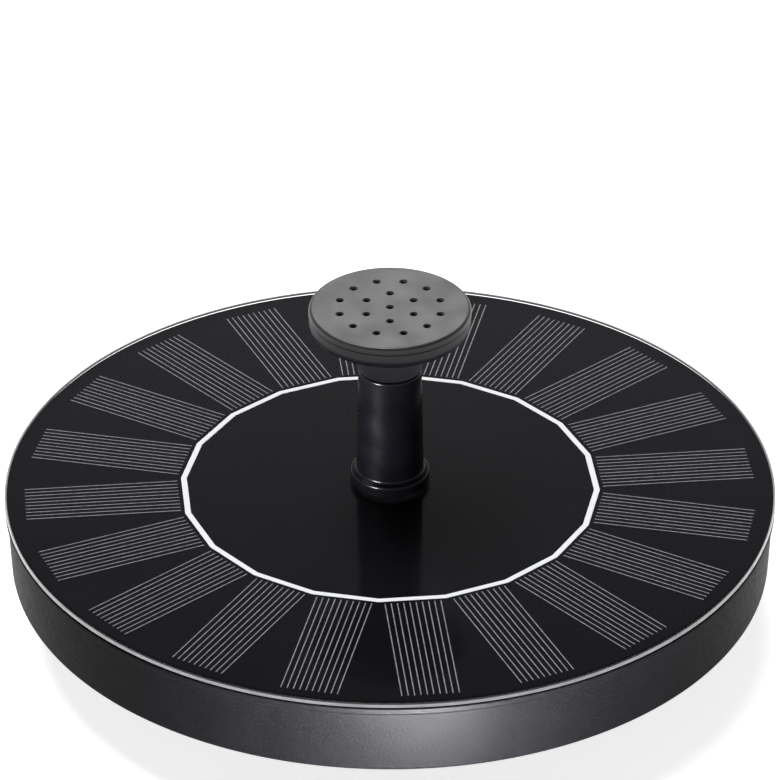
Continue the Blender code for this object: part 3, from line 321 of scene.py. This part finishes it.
def silicon_look():
    """Near-black cell: crystal grains that differ a little in tone."""
    look = Look("silicon", (0.0014, 0.0014, 0.0024), 0.52, specular=0.03)
    grains = look.cells(0.0022, "Color")
    look.tint(look.between(grains, 0.2, 0.8, 0.0, 0.45), (0.0036, 0.0036, 0.0060))
    look.shine(look.noise(0.0030), 0.46, 0.56)
    return look.bump(look.noise(0.0002), 0.000006)


def paste_look():
    """Printed silver contact paste: dull, slightly broken."""
    look = Look("silver_paste", (0.33, 0.33, 0.345), 0.50)
    look.tint(look.between(look.noise(0.0011, 4.0), 0.40, 0.72, 0.0, 0.85), (0.15, 0.15, 0.160))
    return look.bump(look.noise(0.00012), 0.00001)


def ribbon_look():
    """White-coated ribbon with faint creases and a few grey marks."""
    look = Look("white_ribbon", (0.93, 0.93, 0.935), 0.36)
    look.tint(look.between(look.noise(0.0035, 5.0), 0.55, 0.80, 0.0, 0.5), (0.74, 0.74, 0.75))
    return look.bump(look.noise(0.0009), 0.00003)


def board_look():
    """Black layer that the cells lie on, over the faint weave of the board."""
    look = Look("black_bonding_layer", (0.0012, 0.0012, 0.0020), 0.55, specular=0.03)
    look.tint(look.between(look.noise(0.020, 4.0), 0.40, 0.70, 0.0, 0.5), (0.0030, 0.0029, 0.0042))
    look.tint(look.between(look.cells(0.0011), 0.06, 0.14, 0.30, 0.0), (0.0075, 0.0075, 0.0095))
    look.bump(look.waves(0.0006, "X"), 0.000008)
    return look.bump(look.waves(0.0006, "Y"), 0.000008)


def rubber_look():
    look = Look("nitrile_rubber", (0.016, 0.016, 0.017), 0.72, specular=0.35)
    look.tint(look.between(look.noise(0.0018, 5.0), 0.45, 0.75), (0.032, 0.032, 0.033))
    return look.bump(look.noise(0.0003), 0.00003)


def acetal_look():
    look = Look("natural_acetal", (0.78, 0.78, 0.74), 0.38)
    look.shader.inputs["Subsurface Weight"].default_value = 0.12
    look.shader.inputs["Subsurface Scale"].default_value = 0.0008
    look.tint(look.between(look.noise(0.004, 4.0), 0.45, 0.75, 0.0, 0.6), (0.66, 0.65, 0.58))
    return look.bump(look.noise(0.0004), 0.00001)


def ferrite_look():
    look = Look("sintered_ferrite", (0.052, 0.050, 0.049), 0.58, specular=0.5)
    look.tint(look.between(look.cells(0.0003), 0.08, 0.22, 0.7, 0.0), (0.12, 0.12, 0.12))
    return look.bump(look.noise(0.0002, 4.0), 0.00002)


def ceramic_look():
    look = Look("ground_ceramic", (0.82, 0.81, 0.76), 0.24)
    look.tint(look.between(look.noise(0.0020, 5.0), 0.45, 0.75, 0.0, 0.5), (0.70, 0.68, 0.62))
    return look.bump(look.waves(0.00012), 0.000004)


def lamination_look():
    """Half-millimetre sheets on edge."""
    look = Look("stacked_sheets", (0.36, 0.37, 0.39), 0.42, metallic=1.0)
    sheets = look.waves(0.0005)
    look.tint(look.between(sheets, 0.0, 0.25, 0.9, 0.0), (0.10, 0.09, 0.085))
    look.tint(look.between(look.noise(0.0016, 5.0), 0.55, 0.80, 0.0, 0.6), (0.30, 0.19, 0.12))
    return look.bump(sheets, 0.00006)


def copper_look():
    """Enamelled wire laid in layers round the pump's axis."""
    look = Look("enamelled_copper", (0.62, 0.22, 0.075), 0.30, metallic=1.0)
    turns = look.waves(0.00035, kind="RINGS", centre=PUMP_AXIS, warp=0.4)
    look.tint(look.between(turns, 0.0, 0.35, 0.85, 0.0), (0.16, 0.045, 0.018))
    look.shine(look.noise(0.0012), 0.22, 0.40)
    return look.bump(turns, 0.00010)


def steel_look():
    look = Look("stainless_steel", (0.56, 0.56, 0.57), 0.28, metallic=1.0)
    look.tint(look.between(look.noise(0.0008, 5.0), 0.50, 0.80, 0.0, 0.5), (0.38, 0.37, 0.36))
    look.shine(look.noise(0.0005), 0.20, 0.38)
    return look.bump(look.waves(0.00020), 0.00002)


def aluminium_look():
    look = Look("drawn_aluminium", (0.74, 0.74, 0.76), 0.34, metallic=1.0)
    look.tint(look.between(look.noise(0.0020, 5.0), 0.50, 0.80, 0.0, 0.4), (0.55, 0.55, 0.57))
    return look.bump(look.noise(0.0003, 3.0, (1.0, 1.0, 0.05)), 0.00001)


def green_board_look():
    """Green solder mask over copper tracks, with the weave showing faintly."""
    look = Look("green_solder_mask", (0.010, 0.085, 0.030), 0.34)
    tracks = look.between(look.waves(0.0022, "X", warp=3.0), 0.62, 0.70)
    look.tint(tracks, (0.020, 0.150, 0.052))
    look.bump(tracks, 0.00003)
    return look.bump(look.waves(0.0005, "Y"), 0.000006)


def epoxy_look():
    look = Look("moulded_epoxy", (0.022, 0.022, 0.024), 0.56, specular=0.4)
    look.tint(look.between(look.cells(0.00016), 0.06, 0.20, 0.6, 0.0), (0.060, 0.060, 0.062))
    return look.bump(look.noise(0.00016), 0.00002)


def insulation_look(name, colour):
    look = Look(name, colour, 0.42)
    darker = tuple(channel * 0.6 for channel in colour)
    look.tint(look.between(look.noise(0.003, 4.0), 0.45, 0.75, 0.0, 0.7), darker)
    return look.bump(look.noise(0.0005), 0.00003)


LOOKS = {
    "black_shell": shell_look(),
    "black_board": board_look(),
    "silicon": silicon_look(),
    "white_ribbon": ribbon_look(),
    "black_gloss": moulded("polished_stem", (0.0008, 0.0007, 0.0012), 0.26, 0.0011, 0.00001, 0.12),
    "black_satin": moulded("satin_head", (0.0100, 0.0100, 0.0120), 0.40, 0.00034, 0.00002, 0.45),
    "black_pump": moulded("pump_moulding", (0.0120, 0.0120, 0.0135), 0.48, 0.00045, 0.00003, 0.45),
    "black_rubber": rubber_look(),
    "white_impeller": acetal_look(),
    "ferrite": ferrite_look(),
    "ceramic": ceramic_look(),
    "lamination": lamination_look(),
    "copper": copper_look(),
    "steel": steel_look(),
    "aluminium": aluminium_look(),
    "green_board": green_board_look(),
    "epoxy_black": epoxy_look(),
    "purple_lead": insulation_look("purple_insulation", (0.14, 0.045, 0.20)),
    "red_lead": insulation_look("red_insulation", (0.50, 0.022, 0.020)),
    "black_lead": insulation_look("black_insulation", (0.016, 0.016, 0.017)),
}
MATERIALS = {slot: look.material for slot, look in LOOKS.items()}
MATERIALS["clear_resin"] = clear_look()
# Painted highlight: the pale band along the cover's rim.
MATERIALS["highlight_band_paint"] = highlight_band_look().material
MATERIALS["silver_paste"] = paste_look().material

# ---------------------------------------------------------------- mesh helpers


def rounded(corners, steps=5):
    """A profile through (radius, height, rounding) corners, with an arc wherever the rounding isn't 0."""
    found = []
    count = len(corners)
    for i, (radius, height, size) in enumerate(corners):
        here = Vector((radius, height))
        if size <= 0.0:
            found.append(tuple(here))
            continue
        before = Vector(corners[i - 1][:2]) - here
        after = Vector(corners[(i + 1) % count][:2]) - here
        back, onward = before.normalized(), after.normalized()
        half = back.angle(onward) / 2
        reach = min(size / math.tan(half), before.length * 0.49, after.length * 0.49)
        size = reach * math.tan(half)
        centre = here + (back + onward).normalized() * (size / math.sin(half))
        start, end = here + back * reach - centre, here + onward * reach - centre
        sweep = start.angle_signed(end)
        if before.length > 3 * reach:
            found.append(tuple(here + back * reach * SUPPORT))
        for k in range(steps + 1):
            turn = Matrix.Rotation(-sweep * k / steps, 2)
            found.append(tuple(centre + turn @ start))
        if after.length > 3 * reach:
            found.append(tuple(here + onward * reach * SUPPORT))
    return found


def mesh_object(name, points, faces):
    mesh = bpy.data.meshes.new(name)
    mesh.from_pydata(points, [], faces)
    mesh.validate()
    obj = bpy.data.objects.new(name, mesh)
    bpy.context.scene.collection.objects.link(obj)
    return obj


def turned(name, profile, segments, closed=True):
    """A turned mesh from (radius, height) pairs. An open profile starts and ends on the axis."""
    points, rings = [], []
    for radius, height in profile:
        if radius < 1e-7:
            rings.append([len(points)] * segments)
            points.append((0.0, 0.0, height))
            continue
        rings.append([len(points) + k for k in range(segments)])
        for k in range(segments):
            angle = 2 * math.pi * k / segments
            points.append((radius * math.cos(angle), radius * math.sin(angle), height))
    faces = []
    pairs = list(zip(rings, rings[1:])) + ([(rings[-1], rings[0])] if closed else [])
    for upper, lower in pairs:
        for k in range(segments):
            following = (k + 1) % segments
            face = [upper[k], lower[k], lower[following], upper[following]]
            faces.append([v for j, v in enumerate(face) if v != face[j - 1]])
    obj = mesh_object(name, points, faces)
    outwards(obj)
    return obj


def outwards(obj):
    work = bmesh.new()
    work.from_mesh(obj.data)
    bmesh.ops.recalc_face_normals(work, faces=work.faces)
    work.to_mesh(obj.data)
    work.free()


def smooth(obj, angle_deg=32.0):
    """Smooth shading with sharp edges kept. Faces that lie flat stay flat beside their roundings."""
    obj.data.shade_smooth()
    obj.data.set_sharp_from_angle(angle=math.radians(angle_deg))
    for face in obj.data.polygons:
        face.use_smooth = abs(face.normal.z) < LEVEL
    normals = obj.modifiers.new("flat_faces", "WEIGHTED_NORMAL")
    normals.keep_sharp = True
    return obj


def applied(obj):
    """Turns the object's modifiers into mesh."""
    evaluated = obj.evaluated_get(bpy.context.evaluated_depsgraph_get())
    made = bpy.data.meshes.new_from_object(evaluated)
    obj.modifiers.clear()
    obj.data = made
    return obj


def cut(obj, tool):
    carve = obj.modifiers.new("carve", "BOOLEAN")
    carve.operation = "DIFFERENCE"
    carve.solver = "EXACT"
    carve.object = tool
    applied(obj)
    bpy.data.objects.remove(tool)
    return obj


def rounded_slots(name, entries, segments=6):
    """Round-ended slots in one mesh, each (length, width, depth, matrix), lying along X and deep along Z."""
    points, faces = [], []
    for length, width, depth, matrix in entries:
        reach = (length - width) / 2
        outline = []
        for end in (1, -1):
            for k in range(segments + 1):
                angle = math.pi * (k / segments - 0.5)
                along = reach + width / 2 * math.cos(angle)
                outline.append((end * along, end * width / 2 * math.sin(angle)))
        first = len(points)
        count = len(outline)
        for level in (-depth / 2, depth / 2):
            points += [tuple(matrix @ Vector((x, y, level))) for x, y in outline]
        faces.append([first + k for k in reversed(range(count))])
        faces.append([first + count + k for k in range(count)])
        for k in range(count):
            following = (k + 1) % count
            faces.append([first + k, first + following, first + count + following, first + count + k])
    obj = mesh_object(name, points, faces)
    outwards(obj)
    return obj


def piece(obj, body, slot, *nodes, material=None):
    """Gives a piece its material and body, and hides the CAD nodes that it stands for."""
    obj.data.materials.clear()
    obj.data.materials.append(MATERIALS[material or slot])
    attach(obj, body)
    if nodes:
        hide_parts(*nodes)
    return obj


# ---------------------------------------------------------------- float


def make_float_wall():
    wall_top = DISC_RADIUS - RIM_STEP
    wall_foot = wall_top - WALL_TAPER
    foot_bore = wall_foot - WALL
    lip_bore = foot_bore - FOOT_LIP_WIDTH
    lip_top = FLOAT_LOW_Z + FOOT_LIP_THICKNESS
    shelf_bore = FLOAT_BORE - SHELF_WIDTH
    rim_low = RIM_Z - RIM_HEIGHT
    corners = [
        (FLOAT_BORE, RIM_Z, 0.00015),
        (DISC_RADIUS, RIM_Z, 0.00035),
        (DISC_RADIUS, rim_low, 0.00020),
        (wall_top, rim_low - RIM_STEP, 0.00025),
        (wall_foot, FLOAT_LOW_Z, FOOT_CHAMFER),
        (lip_bore, FLOAT_LOW_Z, 0.00015),
        (lip_bore, lip_top, 0.00015),
        (foot_bore, lip_top, 0.0),
        (foot_bore, FLOAT_LOW_Z + FLOAT_FLOOR, 0.0),
        (FLOAT_BORE, SHELF_Z - SHELF_THICKNESS - SHELF_WIDTH, 0.0),
        (shelf_bore, SHELF_Z - SHELF_THICKNESS, 0.00015),
        (shelf_bore, SHELF_Z, 0.00015),
        (FLOAT_BORE, SHELF_Z, 0.0),
    ]
    wall = turned("float_shell", rounded(corners), SEGMENTS_DISC)
    piece(smooth(wall), "float", "black_shell", "float_wall")


def make_cover():
    """The clear cover, open underneath where it is bonded down, and the pale band round its foot, a painted
    highlight along the cover's edge.
    """
    corners = [
        (COVER_HOLE + THIN_GAP, COVER_LOW.z, 0.0),
        (COVER_HOLE + THIN_GAP, COVER_HIGH.z, 0.00020),
        (DISC_RADIUS, COVER_HIGH.z, COVER_ROUNDING),
        (DISC_RADIUS, COVER_LOW.z + HIGHLIGHT_BAND, 0.0),
    ]
    cover = turned("clear_cover", rounded(corners, 8), SEGMENTS_DISC, closed=False)
    piece(smooth(cover), "float", "clear_resin", "panel_cover")
    inner = DISC_RADIUS - HIGHLIGHT_BAND + THIN_GAP / 4
    band_top = COVER_LOW.z + HIGHLIGHT_BAND - THIN_GAP / 4
    line = [
        (DISC_RADIUS, band_top, 0.00012),
        (DISC_RADIUS, COVER_LOW.z, 0.00012),
        (inner, COVER_LOW.z, 0.0),
        (inner, band_top, 0.0),
    ]
    # A pale ring that stands for the highlight along the cover's edge: painted light.
    edge = turned("cover_edge_line", rounded(line, 3), SEGMENTS_DISC)
    piece(smooth(edge), "float", "clear_resin", material="highlight_band_paint")


def cell_axis(node):
    """A cell's direction from the centre, its inner and outer ends along that, and its top."""
    corners = [vertex.co for vertex in frame["nodes"][node].data.vertices]
    middle = sum(corners, Vector()) / len(corners)
    along = Vector((middle.x, middle.y, 0.0)).normalized()
    reach = [corner.dot(along) for corner in corners]
    return along, min(reach), max(reach), max(corner.z for corner in corners)


def make_bed():
    """The black layer under the cover. The cells and the ribbon lie on it, and it hides the rim."""
    inner, outer = COVER_HOLE + THIN_GAP, DISC_RADIUS - 5 * THIN_GAP
    low = BED_TOP_Z - BED_THICKNESS
    profile = [(outer, BED_TOP_Z), (outer, low), (inner, low), (inner, BED_TOP_Z)]
    piece(smooth(turned("bonding_layer", profile, SEGMENTS_DISC)), "float", "black_board")


def make_cell(node):
    """One cell as a thin sheet, and its printed contact fingers."""
    along, inner, outer, top = cell_axis(node)
    across = Vector((-along.y, along.x, 0.0))
    half = FINGER_PITCH * FINGER_COUNT / 2
    sheet = strips(node.replace("solar_cell", "cell_sheet"), along, across, inner, outer, [(0.0, half)], top)
    piece(sheet, "float", "silicon", node)
    middles = [(i - (FINGER_COUNT - 1) / 2) * FINGER_PITCH for i in range(FINGER_COUNT)]
    lines = [(middle, FINGER_WIDTH / 2) for middle in middles]
    ends = (inner + FINGER_INSET, outer - FINGER_INSET)
    name = node.replace("solar_cell", "cell_fingers")
    fingers = strips(name, along, across, *ends, lines, top + FINGER_RISE)
    piece(fingers, "float", "silicon", material="silver_paste")


def strips(name, along, across, inner, outer, lines, top):
    """Flat strips with sloping long edges, side by side in one mesh. Each line is (middle, half width)."""
    points, faces = [], []
    for middle, half in lines:
        shoulder = half - min(half * 0.3, CELL_SHEET)
        section = ((-half, top - CELL_SHEET), (-shoulder, top), (shoulder, top), (half, top - CELL_SHEET))
        first = len(points)
        for reach in (inner, outer):
            for side, height in section:
                at = along * reach + across * (middle + side)
                points.append((at.x, at.y, height))
        faces += [[first + k for k in range(4)], [first + 4 + k for k in reversed(range(4))]]
        for k in range(4):
            following = (k + 1) % 4
            faces.append([first + k, first + 4 + k, first + 4 + following, first + following])
    obj = mesh_object(name, points, faces)
    outwards(obj)
    return obj


def make_ribbon():
    """The twenty-sided bus ribbon: straight runs with mitred corners and softened edges."""
    count = len(CELLS)
    corner = 1 / math.cos(math.pi / count)
    middle, half = RIBBON_APOTHEM * corner, RIBBON_WIDTH / 2 * corner
    top, low = BED_TOP_Z + 2 * CELL_SHEET, BED_TOP_Z + CELL_SHEET / 4
    soft = RIBBON_WIDTH / 12
    section = [
        (middle + half, low),
        (middle - half, low),
        (middle - half + soft, top),
        (middle + half - soft, top),
    ]
    ribbon = turned("ribbon_ring", section, count)
    first = cell_axis(CELLS[0])[0]
    turn = math.atan2(first.y, first.x) + math.pi / count
    ribbon.data.transform(Matrix.Rotation(turn, 4, "Z"))
    piece(ribbon, "float", "white_ribbon", "bus_ribbon")


# ---------------------------------------------------------------- nozzle


def make_stem():
    shoulder = HEAD_LOW.z - 0.0003
    collar_low = DECK_Z + THIN_GAP
    collar_top = collar_low + COLLAR_THICKNESS
    corners = [
        (STEM_BORE, STEM_HIGH.z, 0.00020),
        (STEM_SPIGOT_RADIUS, STEM_HIGH.z, 0.00040),
        (STEM_SPIGOT_RADIUS, shoulder, 0.0),
        (STEM_TOP_RADIUS, shoulder, 0.00040),
        (STEM_FOOT_RADIUS, collar_top, 0.00080),
        (STEM_HIGH.x, collar_top, 0.00090),
        (STEM_HIGH.x, collar_low, 0.00020),
        (STEM_SPIGOT_RADIUS, collar_low, 0.0),
        (STEM_SPIGOT_RADIUS, STEM_LOW.z, 0.00040),
        (STEM_BORE, STEM_LOW.z, 0.00015),
    ]
    stem = turned("stem", rounded(corners), SEGMENTS_NOZZLE)
    piece(smooth(stem), "nozzle", "black_gloss", "nozzle_stem")


def make_head():
    plate_low = PLATE_HIGH.z - SPRAY_PLATE
    bowl_top = PLATE_HIGH.z - HEAD_SIDE
    bowl_low = bowl_top - BOWL_HEIGHT
    neck = STEM_TOP_RADIUS + THIN_GAP
    cup = HEAD_HIGH.x
    inner = cup - HEAD_WALL
    corners = [
        (inner, plate_low - THIN_GAP, 0.0),
        (cup, plate_low - THIN_GAP, 0.00015),
        (cup, bowl_top, 0.0022),
        ((BOWL_FOOT_RADIUS + cup) / 2 - 0.0016, bowl_top - BOWL_HEIGHT * 0.68, 0.0060),
        (BOWL_FOOT_RADIUS, bowl_low, 0.0010),
        (neck, bowl_low - (BOWL_FOOT_RADIUS - neck) / 2, 0.00060),
        (neck, HEAD_LOW.z, 0.00025),
        (SOCKET_BORE, HEAD_LOW.z, 0.00015),
        (SOCKET_BORE, bowl_low + HEAD_WALL / 2, 0.0),
        (inner, bowl_top, 0.0010),
    ]
    cup_piece = turned("spray_head_cup", rounded(corners, 8), SEGMENTS_NOZZLE)
    piece(smooth(cup_piece), "spray_head", "black_satin", "head_cup")
    lip = inner - 0.0002
    lip_low = plate_low - HEAD_WALL
    plate_corners = [
        (0.0, PLATE_HIGH.z, 0.0),
        (PLATE_HIGH.x, PLATE_HIGH.z, 0.0013),
        (PLATE_HIGH.x, plate_low, 0.00015),
        (lip, plate_low, 0.0),
        (lip, lip_low, 0.00015),
        (lip - HEAD_WALL, lip_low, 0.00015),
        (lip - HEAD_WALL, plate_low, 0.0),
        (0.0, plate_low, 0.0),
    ]
    plate = turned("spray_head_plate", rounded(plate_corners, 8), SEGMENTS_NOZZLE, closed=False)
    cut(plate, spray_tool(plate_low))
    piece(smooth(plate), "spray_head", "black_satin", "spray_plate")


def spray_tool(plate_low):
    """All the spray holes in one mesh, each leaning outwards and widening at its mouth."""
    mouth = 0.00030
    sides = 20
    levels = (
        (plate_low - THROUGH, SPRAY_HOLE_RADIUS),
        (PLATE_HIGH.z - mouth, SPRAY_HOLE_RADIUS),
        (PLATE_HIGH.z + mouth, SPRAY_HOLE_RADIUS + 2 * mouth),
    )
    points, faces = [], []
    for count, circle, lean in SPRAY_RINGS:
        for i in range(count):
            turn = Matrix.Rotation(2 * math.pi * (i + 0.5) / count, 4, "Z")
            middle = Matrix.Translation((circle, 0.0, PLATE_HIGH.z))
            place = turn @ middle @ Matrix.Rotation(math.radians(lean), 4, "Y")
            first = len(points)
            for height, radius in levels:
                for k in range(sides):
                    angle = 2 * math.pi * k / sides
                    at = Vector((radius * math.cos(angle), radius * math.sin(angle), height - PLATE_HIGH.z))
                    points.append(tuple(place @ at))
            last = first + (len(levels) - 1) * sides
            faces += [[first + k for k in reversed(range(sides))], [last + k for k in range(sides)]]
            for level in range(len(levels) - 1):
                base = first + level * sides
                for k in range(sides):
                    following = (k + 1) % sides
                    faces.append([base + k, base + following, base + sides + following, base + sides + k])
    tool = mesh_object("spray_tool", points, faces)
    outwards(tool)
    return tool


# ---------------------------------------------------------------- strainer


def make_strainer():
    radius = STRAINER_HIGH.x
    bore = radius - STRAINER_WALL
    foot_inner = radius - FOOT_RING_WIDTH
    floor_top = FOOT_RING_HEIGHT + STRAINER_FLOOR
    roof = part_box("pump_screw_1")[0].z
    corners = [
        (0.0, floor_top, 0.0),
        (bore, floor_top, 0.0008),
        (bore, STRAINER_HIGH.z, 0.00025),
        (radius, STRAINER_HIGH.z, 0.00040),
        (radius, 0.0, 0.0008),
        (foot_inner, 0.0, 0.00030),
        (foot_inner - FOOT_RING_HEIGHT, FOOT_RING_HEIGHT, 0.00030),
        (0.0, FOOT_RING_HEIGHT, 0.0),
    ]
    strainer = turned("strainer", rounded(corners), SEGMENTS_STRAINER, closed=False)
    low, high = floor_top + 0.0012, roof + 0.0005
    outer = foot_inner - 2 * FOOT_RING_HEIGHT
    entries = []
    for i in range(SLOT_COUNT):
        turn = Matrix.Rotation(2 * math.pi * (i + 0.5) / SLOT_COUNT, 4, "Z")
        at = Matrix.Translation((bore + STRAINER_WALL / 2, 0.0, (low + high) / 2))
        upright = Matrix.Rotation(math.pi / 2, 4, "Y")
        entries.append((high - low, SLOT_WIDTH, 3 * STRAINER_WALL, turn @ at @ upright))
    for i in range(0, SLOT_COUNT, 2):
        turn = Matrix.Rotation(2 * math.pi * i / SLOT_COUNT, 4, "Z")
        at = Matrix.Translation(((FLOOR_SLOT_START + outer) / 2, 0.0, floor_top - STRAINER_FLOOR / 2))
        entries.append((outer - FLOOR_SLOT_START, FLOOR_SLOT_WIDTH, STRAINER_FLOOR + 2 * THROUGH, turn @ at))
    cut(strainer, rounded_slots("slot_tool", entries))
    piece(smooth(strainer), "strainer", "black_pump", "strainer_cover")


# ---------------------------------------------------------------- CAD nodes that stay


def refined(node, body, slot, bevel):
    """A copy of a CAD node with its edges softened and its round faces smooth."""
    work = bmesh.new()
    work.from_mesh(frame["nodes"][node].data)
    bmesh.ops.remove_doubles(work, verts=work.verts, dist=1e-6)
    bmesh.ops.dissolve_limit(work, angle_limit=math.radians(1.0), verts=work.verts, edges=work.edges)
    mesh = bpy.data.meshes.new(node + "_fine")
    work.to_mesh(mesh)
    work.free()
    obj = bpy.data.objects.new(node + "_fine", mesh)
    bpy.context.scene.collection.objects.link(obj)
    soften = obj.modifiers.new("soften", "BEVEL")
    soften.width = bevel
    soften.segments = 2
    soften.limit_method = "ANGLE"
    soften.angle_limit = math.radians(35.0)
    smooth(obj)
    piece(obj, body, slot, node)


def dress_frame():
    """Every CAD node takes the look of its slot."""
    for part in frame["record"]["subparts"]:
        node = frame["nodes"][part["node"]]
        node.data.materials.clear()
        node.data.materials.append(MATERIALS[part["material_slot"]])


# ---------------------------------------------------------------- floor, lights, camera


def make_floor():
    points = [(-20, -20, 0), (20, -20, 0), (20, 20, 0), (-20, 20, 0)]
    floor = mesh_object("floor", points, [[0, 1, 2, 3]])
    floor.location.z = -0.00005
    look = Look("pale_floor", (0.90, 0.90, 0.90), 0.85, specular=0.2)
    look.tint(look.between(look.noise(0.30, 4.0), 0.35, 0.75, 0.0, 0.5), (0.88, 0.88, 0.885))
    look.shader.inputs["Emission Color"].default_value = (1.0, 1.0, 1.0, 1.0)
    look.shader.inputs["Emission Strength"].default_value = 0.75
    floor.data.materials.append(look.material)


def make_world():
    """A pale horizon that darkens overhead, so that the glossy top stays dark."""
    world = bpy.data.worlds.new("studio")
    bpy.context.scene.world = world
    world.use_nodes = True
    tree = world.node_tree
    background = tree.nodes["Background"]
    where = tree.nodes.new("ShaderNodeTexCoord")
    split = tree.nodes.new("ShaderNodeSeparateXYZ")
    ramp = tree.nodes.new("ShaderNodeValToRGB")
    tree.links.new(where.outputs["Generated"], split.inputs["Vector"])
    tree.links.new(split.outputs["Z"], ramp.inputs["Fac"])
    tree.links.new(ramp.outputs["Color"], background.inputs["Color"])
    stops = ((0.10, 0.97), (0.48, 0.42), (0.54, 0.22), (0.60, 0.05), (0.75, 0.03))
    for place, level in stops[2:]:
        ramp.color_ramp.elements.new(place)
    for element, (place, level) in zip(ramp.color_ramp.elements, stops):
        element.position = place
        element.color = (level, level, min(level * 1.06, 0.98), 1.0)


def aimed(obj, target):
    obj.rotation_euler = (Vector(target) - obj.location).to_track_quat("-Z", "Y").to_euler()


def area_light(name, place, target, size, energy, lit):
    """A soft panel that lights only the named pieces, as a shaded studio lamp does."""
    data = bpy.data.lights.new(name, "AREA")
    data.shape = "RECTANGLE"
    data.size, data.size_y = size
    data.energy = energy
    light = bpy.data.objects.new(name, data)
    light.location = place
    aimed(light, target)
    light.visible_camera = False
    bpy.context.scene.collection.objects.link(light)
    receivers = bpy.data.collections.new(name + "_receivers")
    for piece_name in lit:
        receivers.objects.link(bpy.data.objects[piece_name])
    light.light_linking.receiver_collection = receivers


def make_lights():
    """An overhead light that leaves no glints on the cover, and three small panels."""
    sun = bpy.data.lights.new("overhead", "SUN")
    sun.energy = 3.1
    sun.angle = math.radians(32.0)
    overhead = bpy.data.objects.new("overhead", sun)
    overhead.rotation_euler = (math.radians(-14.0), math.radians(-10.0), 0.0)
    bpy.context.scene.collection.objects.link(overhead)
    shaded = bpy.data.collections.new("overhead_shaded")
    shaded.objects.link(bpy.data.objects["clear_cover"])
    shaded.collection_objects[0].light_linking.link_state = "EXCLUDE"
    overhead.light_linking.receiver_collection = shaded
    wall, head = ("float_shell",), ("spray_head_cup", "spray_head_plate")
    area_light("front_bounce", (0.010, -0.135, 0.001), (0.0, -0.110, 0.060), (0.045, 0.075), 9.0, wall)
    area_light("nozzle_side", (-0.20, -0.22, 0.03), (0.0, 0.0, 0.045), (0.09, 0.12), 9.0, ("stem",))
    area_light("head_back", (0.0, 0.50, 0.42), (0.0, 0.0, 0.07), (0.30, 0.20), 1.0, head)


def make_camera():
    tilt = math.radians(32.8)
    distance = 0.946
    aim_above_deck = 0.0214
    data = bpy.data.cameras.new("camera")
    data.sensor_width = 36.0
    data.lens = 210.0
    camera = bpy.data.objects.new("camera", data)
    camera.location = (0.0, -distance * math.cos(tilt), DECK_Z + distance * math.sin(tilt))
    aimed(camera, (0.0, 0.0, DECK_Z + aim_above_deck))
    bpy.context.scene.collection.objects.link(camera)
    bpy.context.scene.camera = camera


# ---------------------------------------------------------------- the whole scene

dress_frame()
make_float_wall()
make_cover()
make_bed()
for cell in CELLS:
    make_cell(cell)
make_ribbon()
make_stem()
make_head()
make_strainer()
refined("float_base", "float", "black_shell", 0.00015)
refined("pump_body", "float", "black_pump", 0.00015)
refined("volute_cover", "pump_cover", "black_pump", 0.00012)
make_floor()
make_world()
make_lights()
make_camera()
bpy.context.scene.view_settings.view_transform = "Standard"
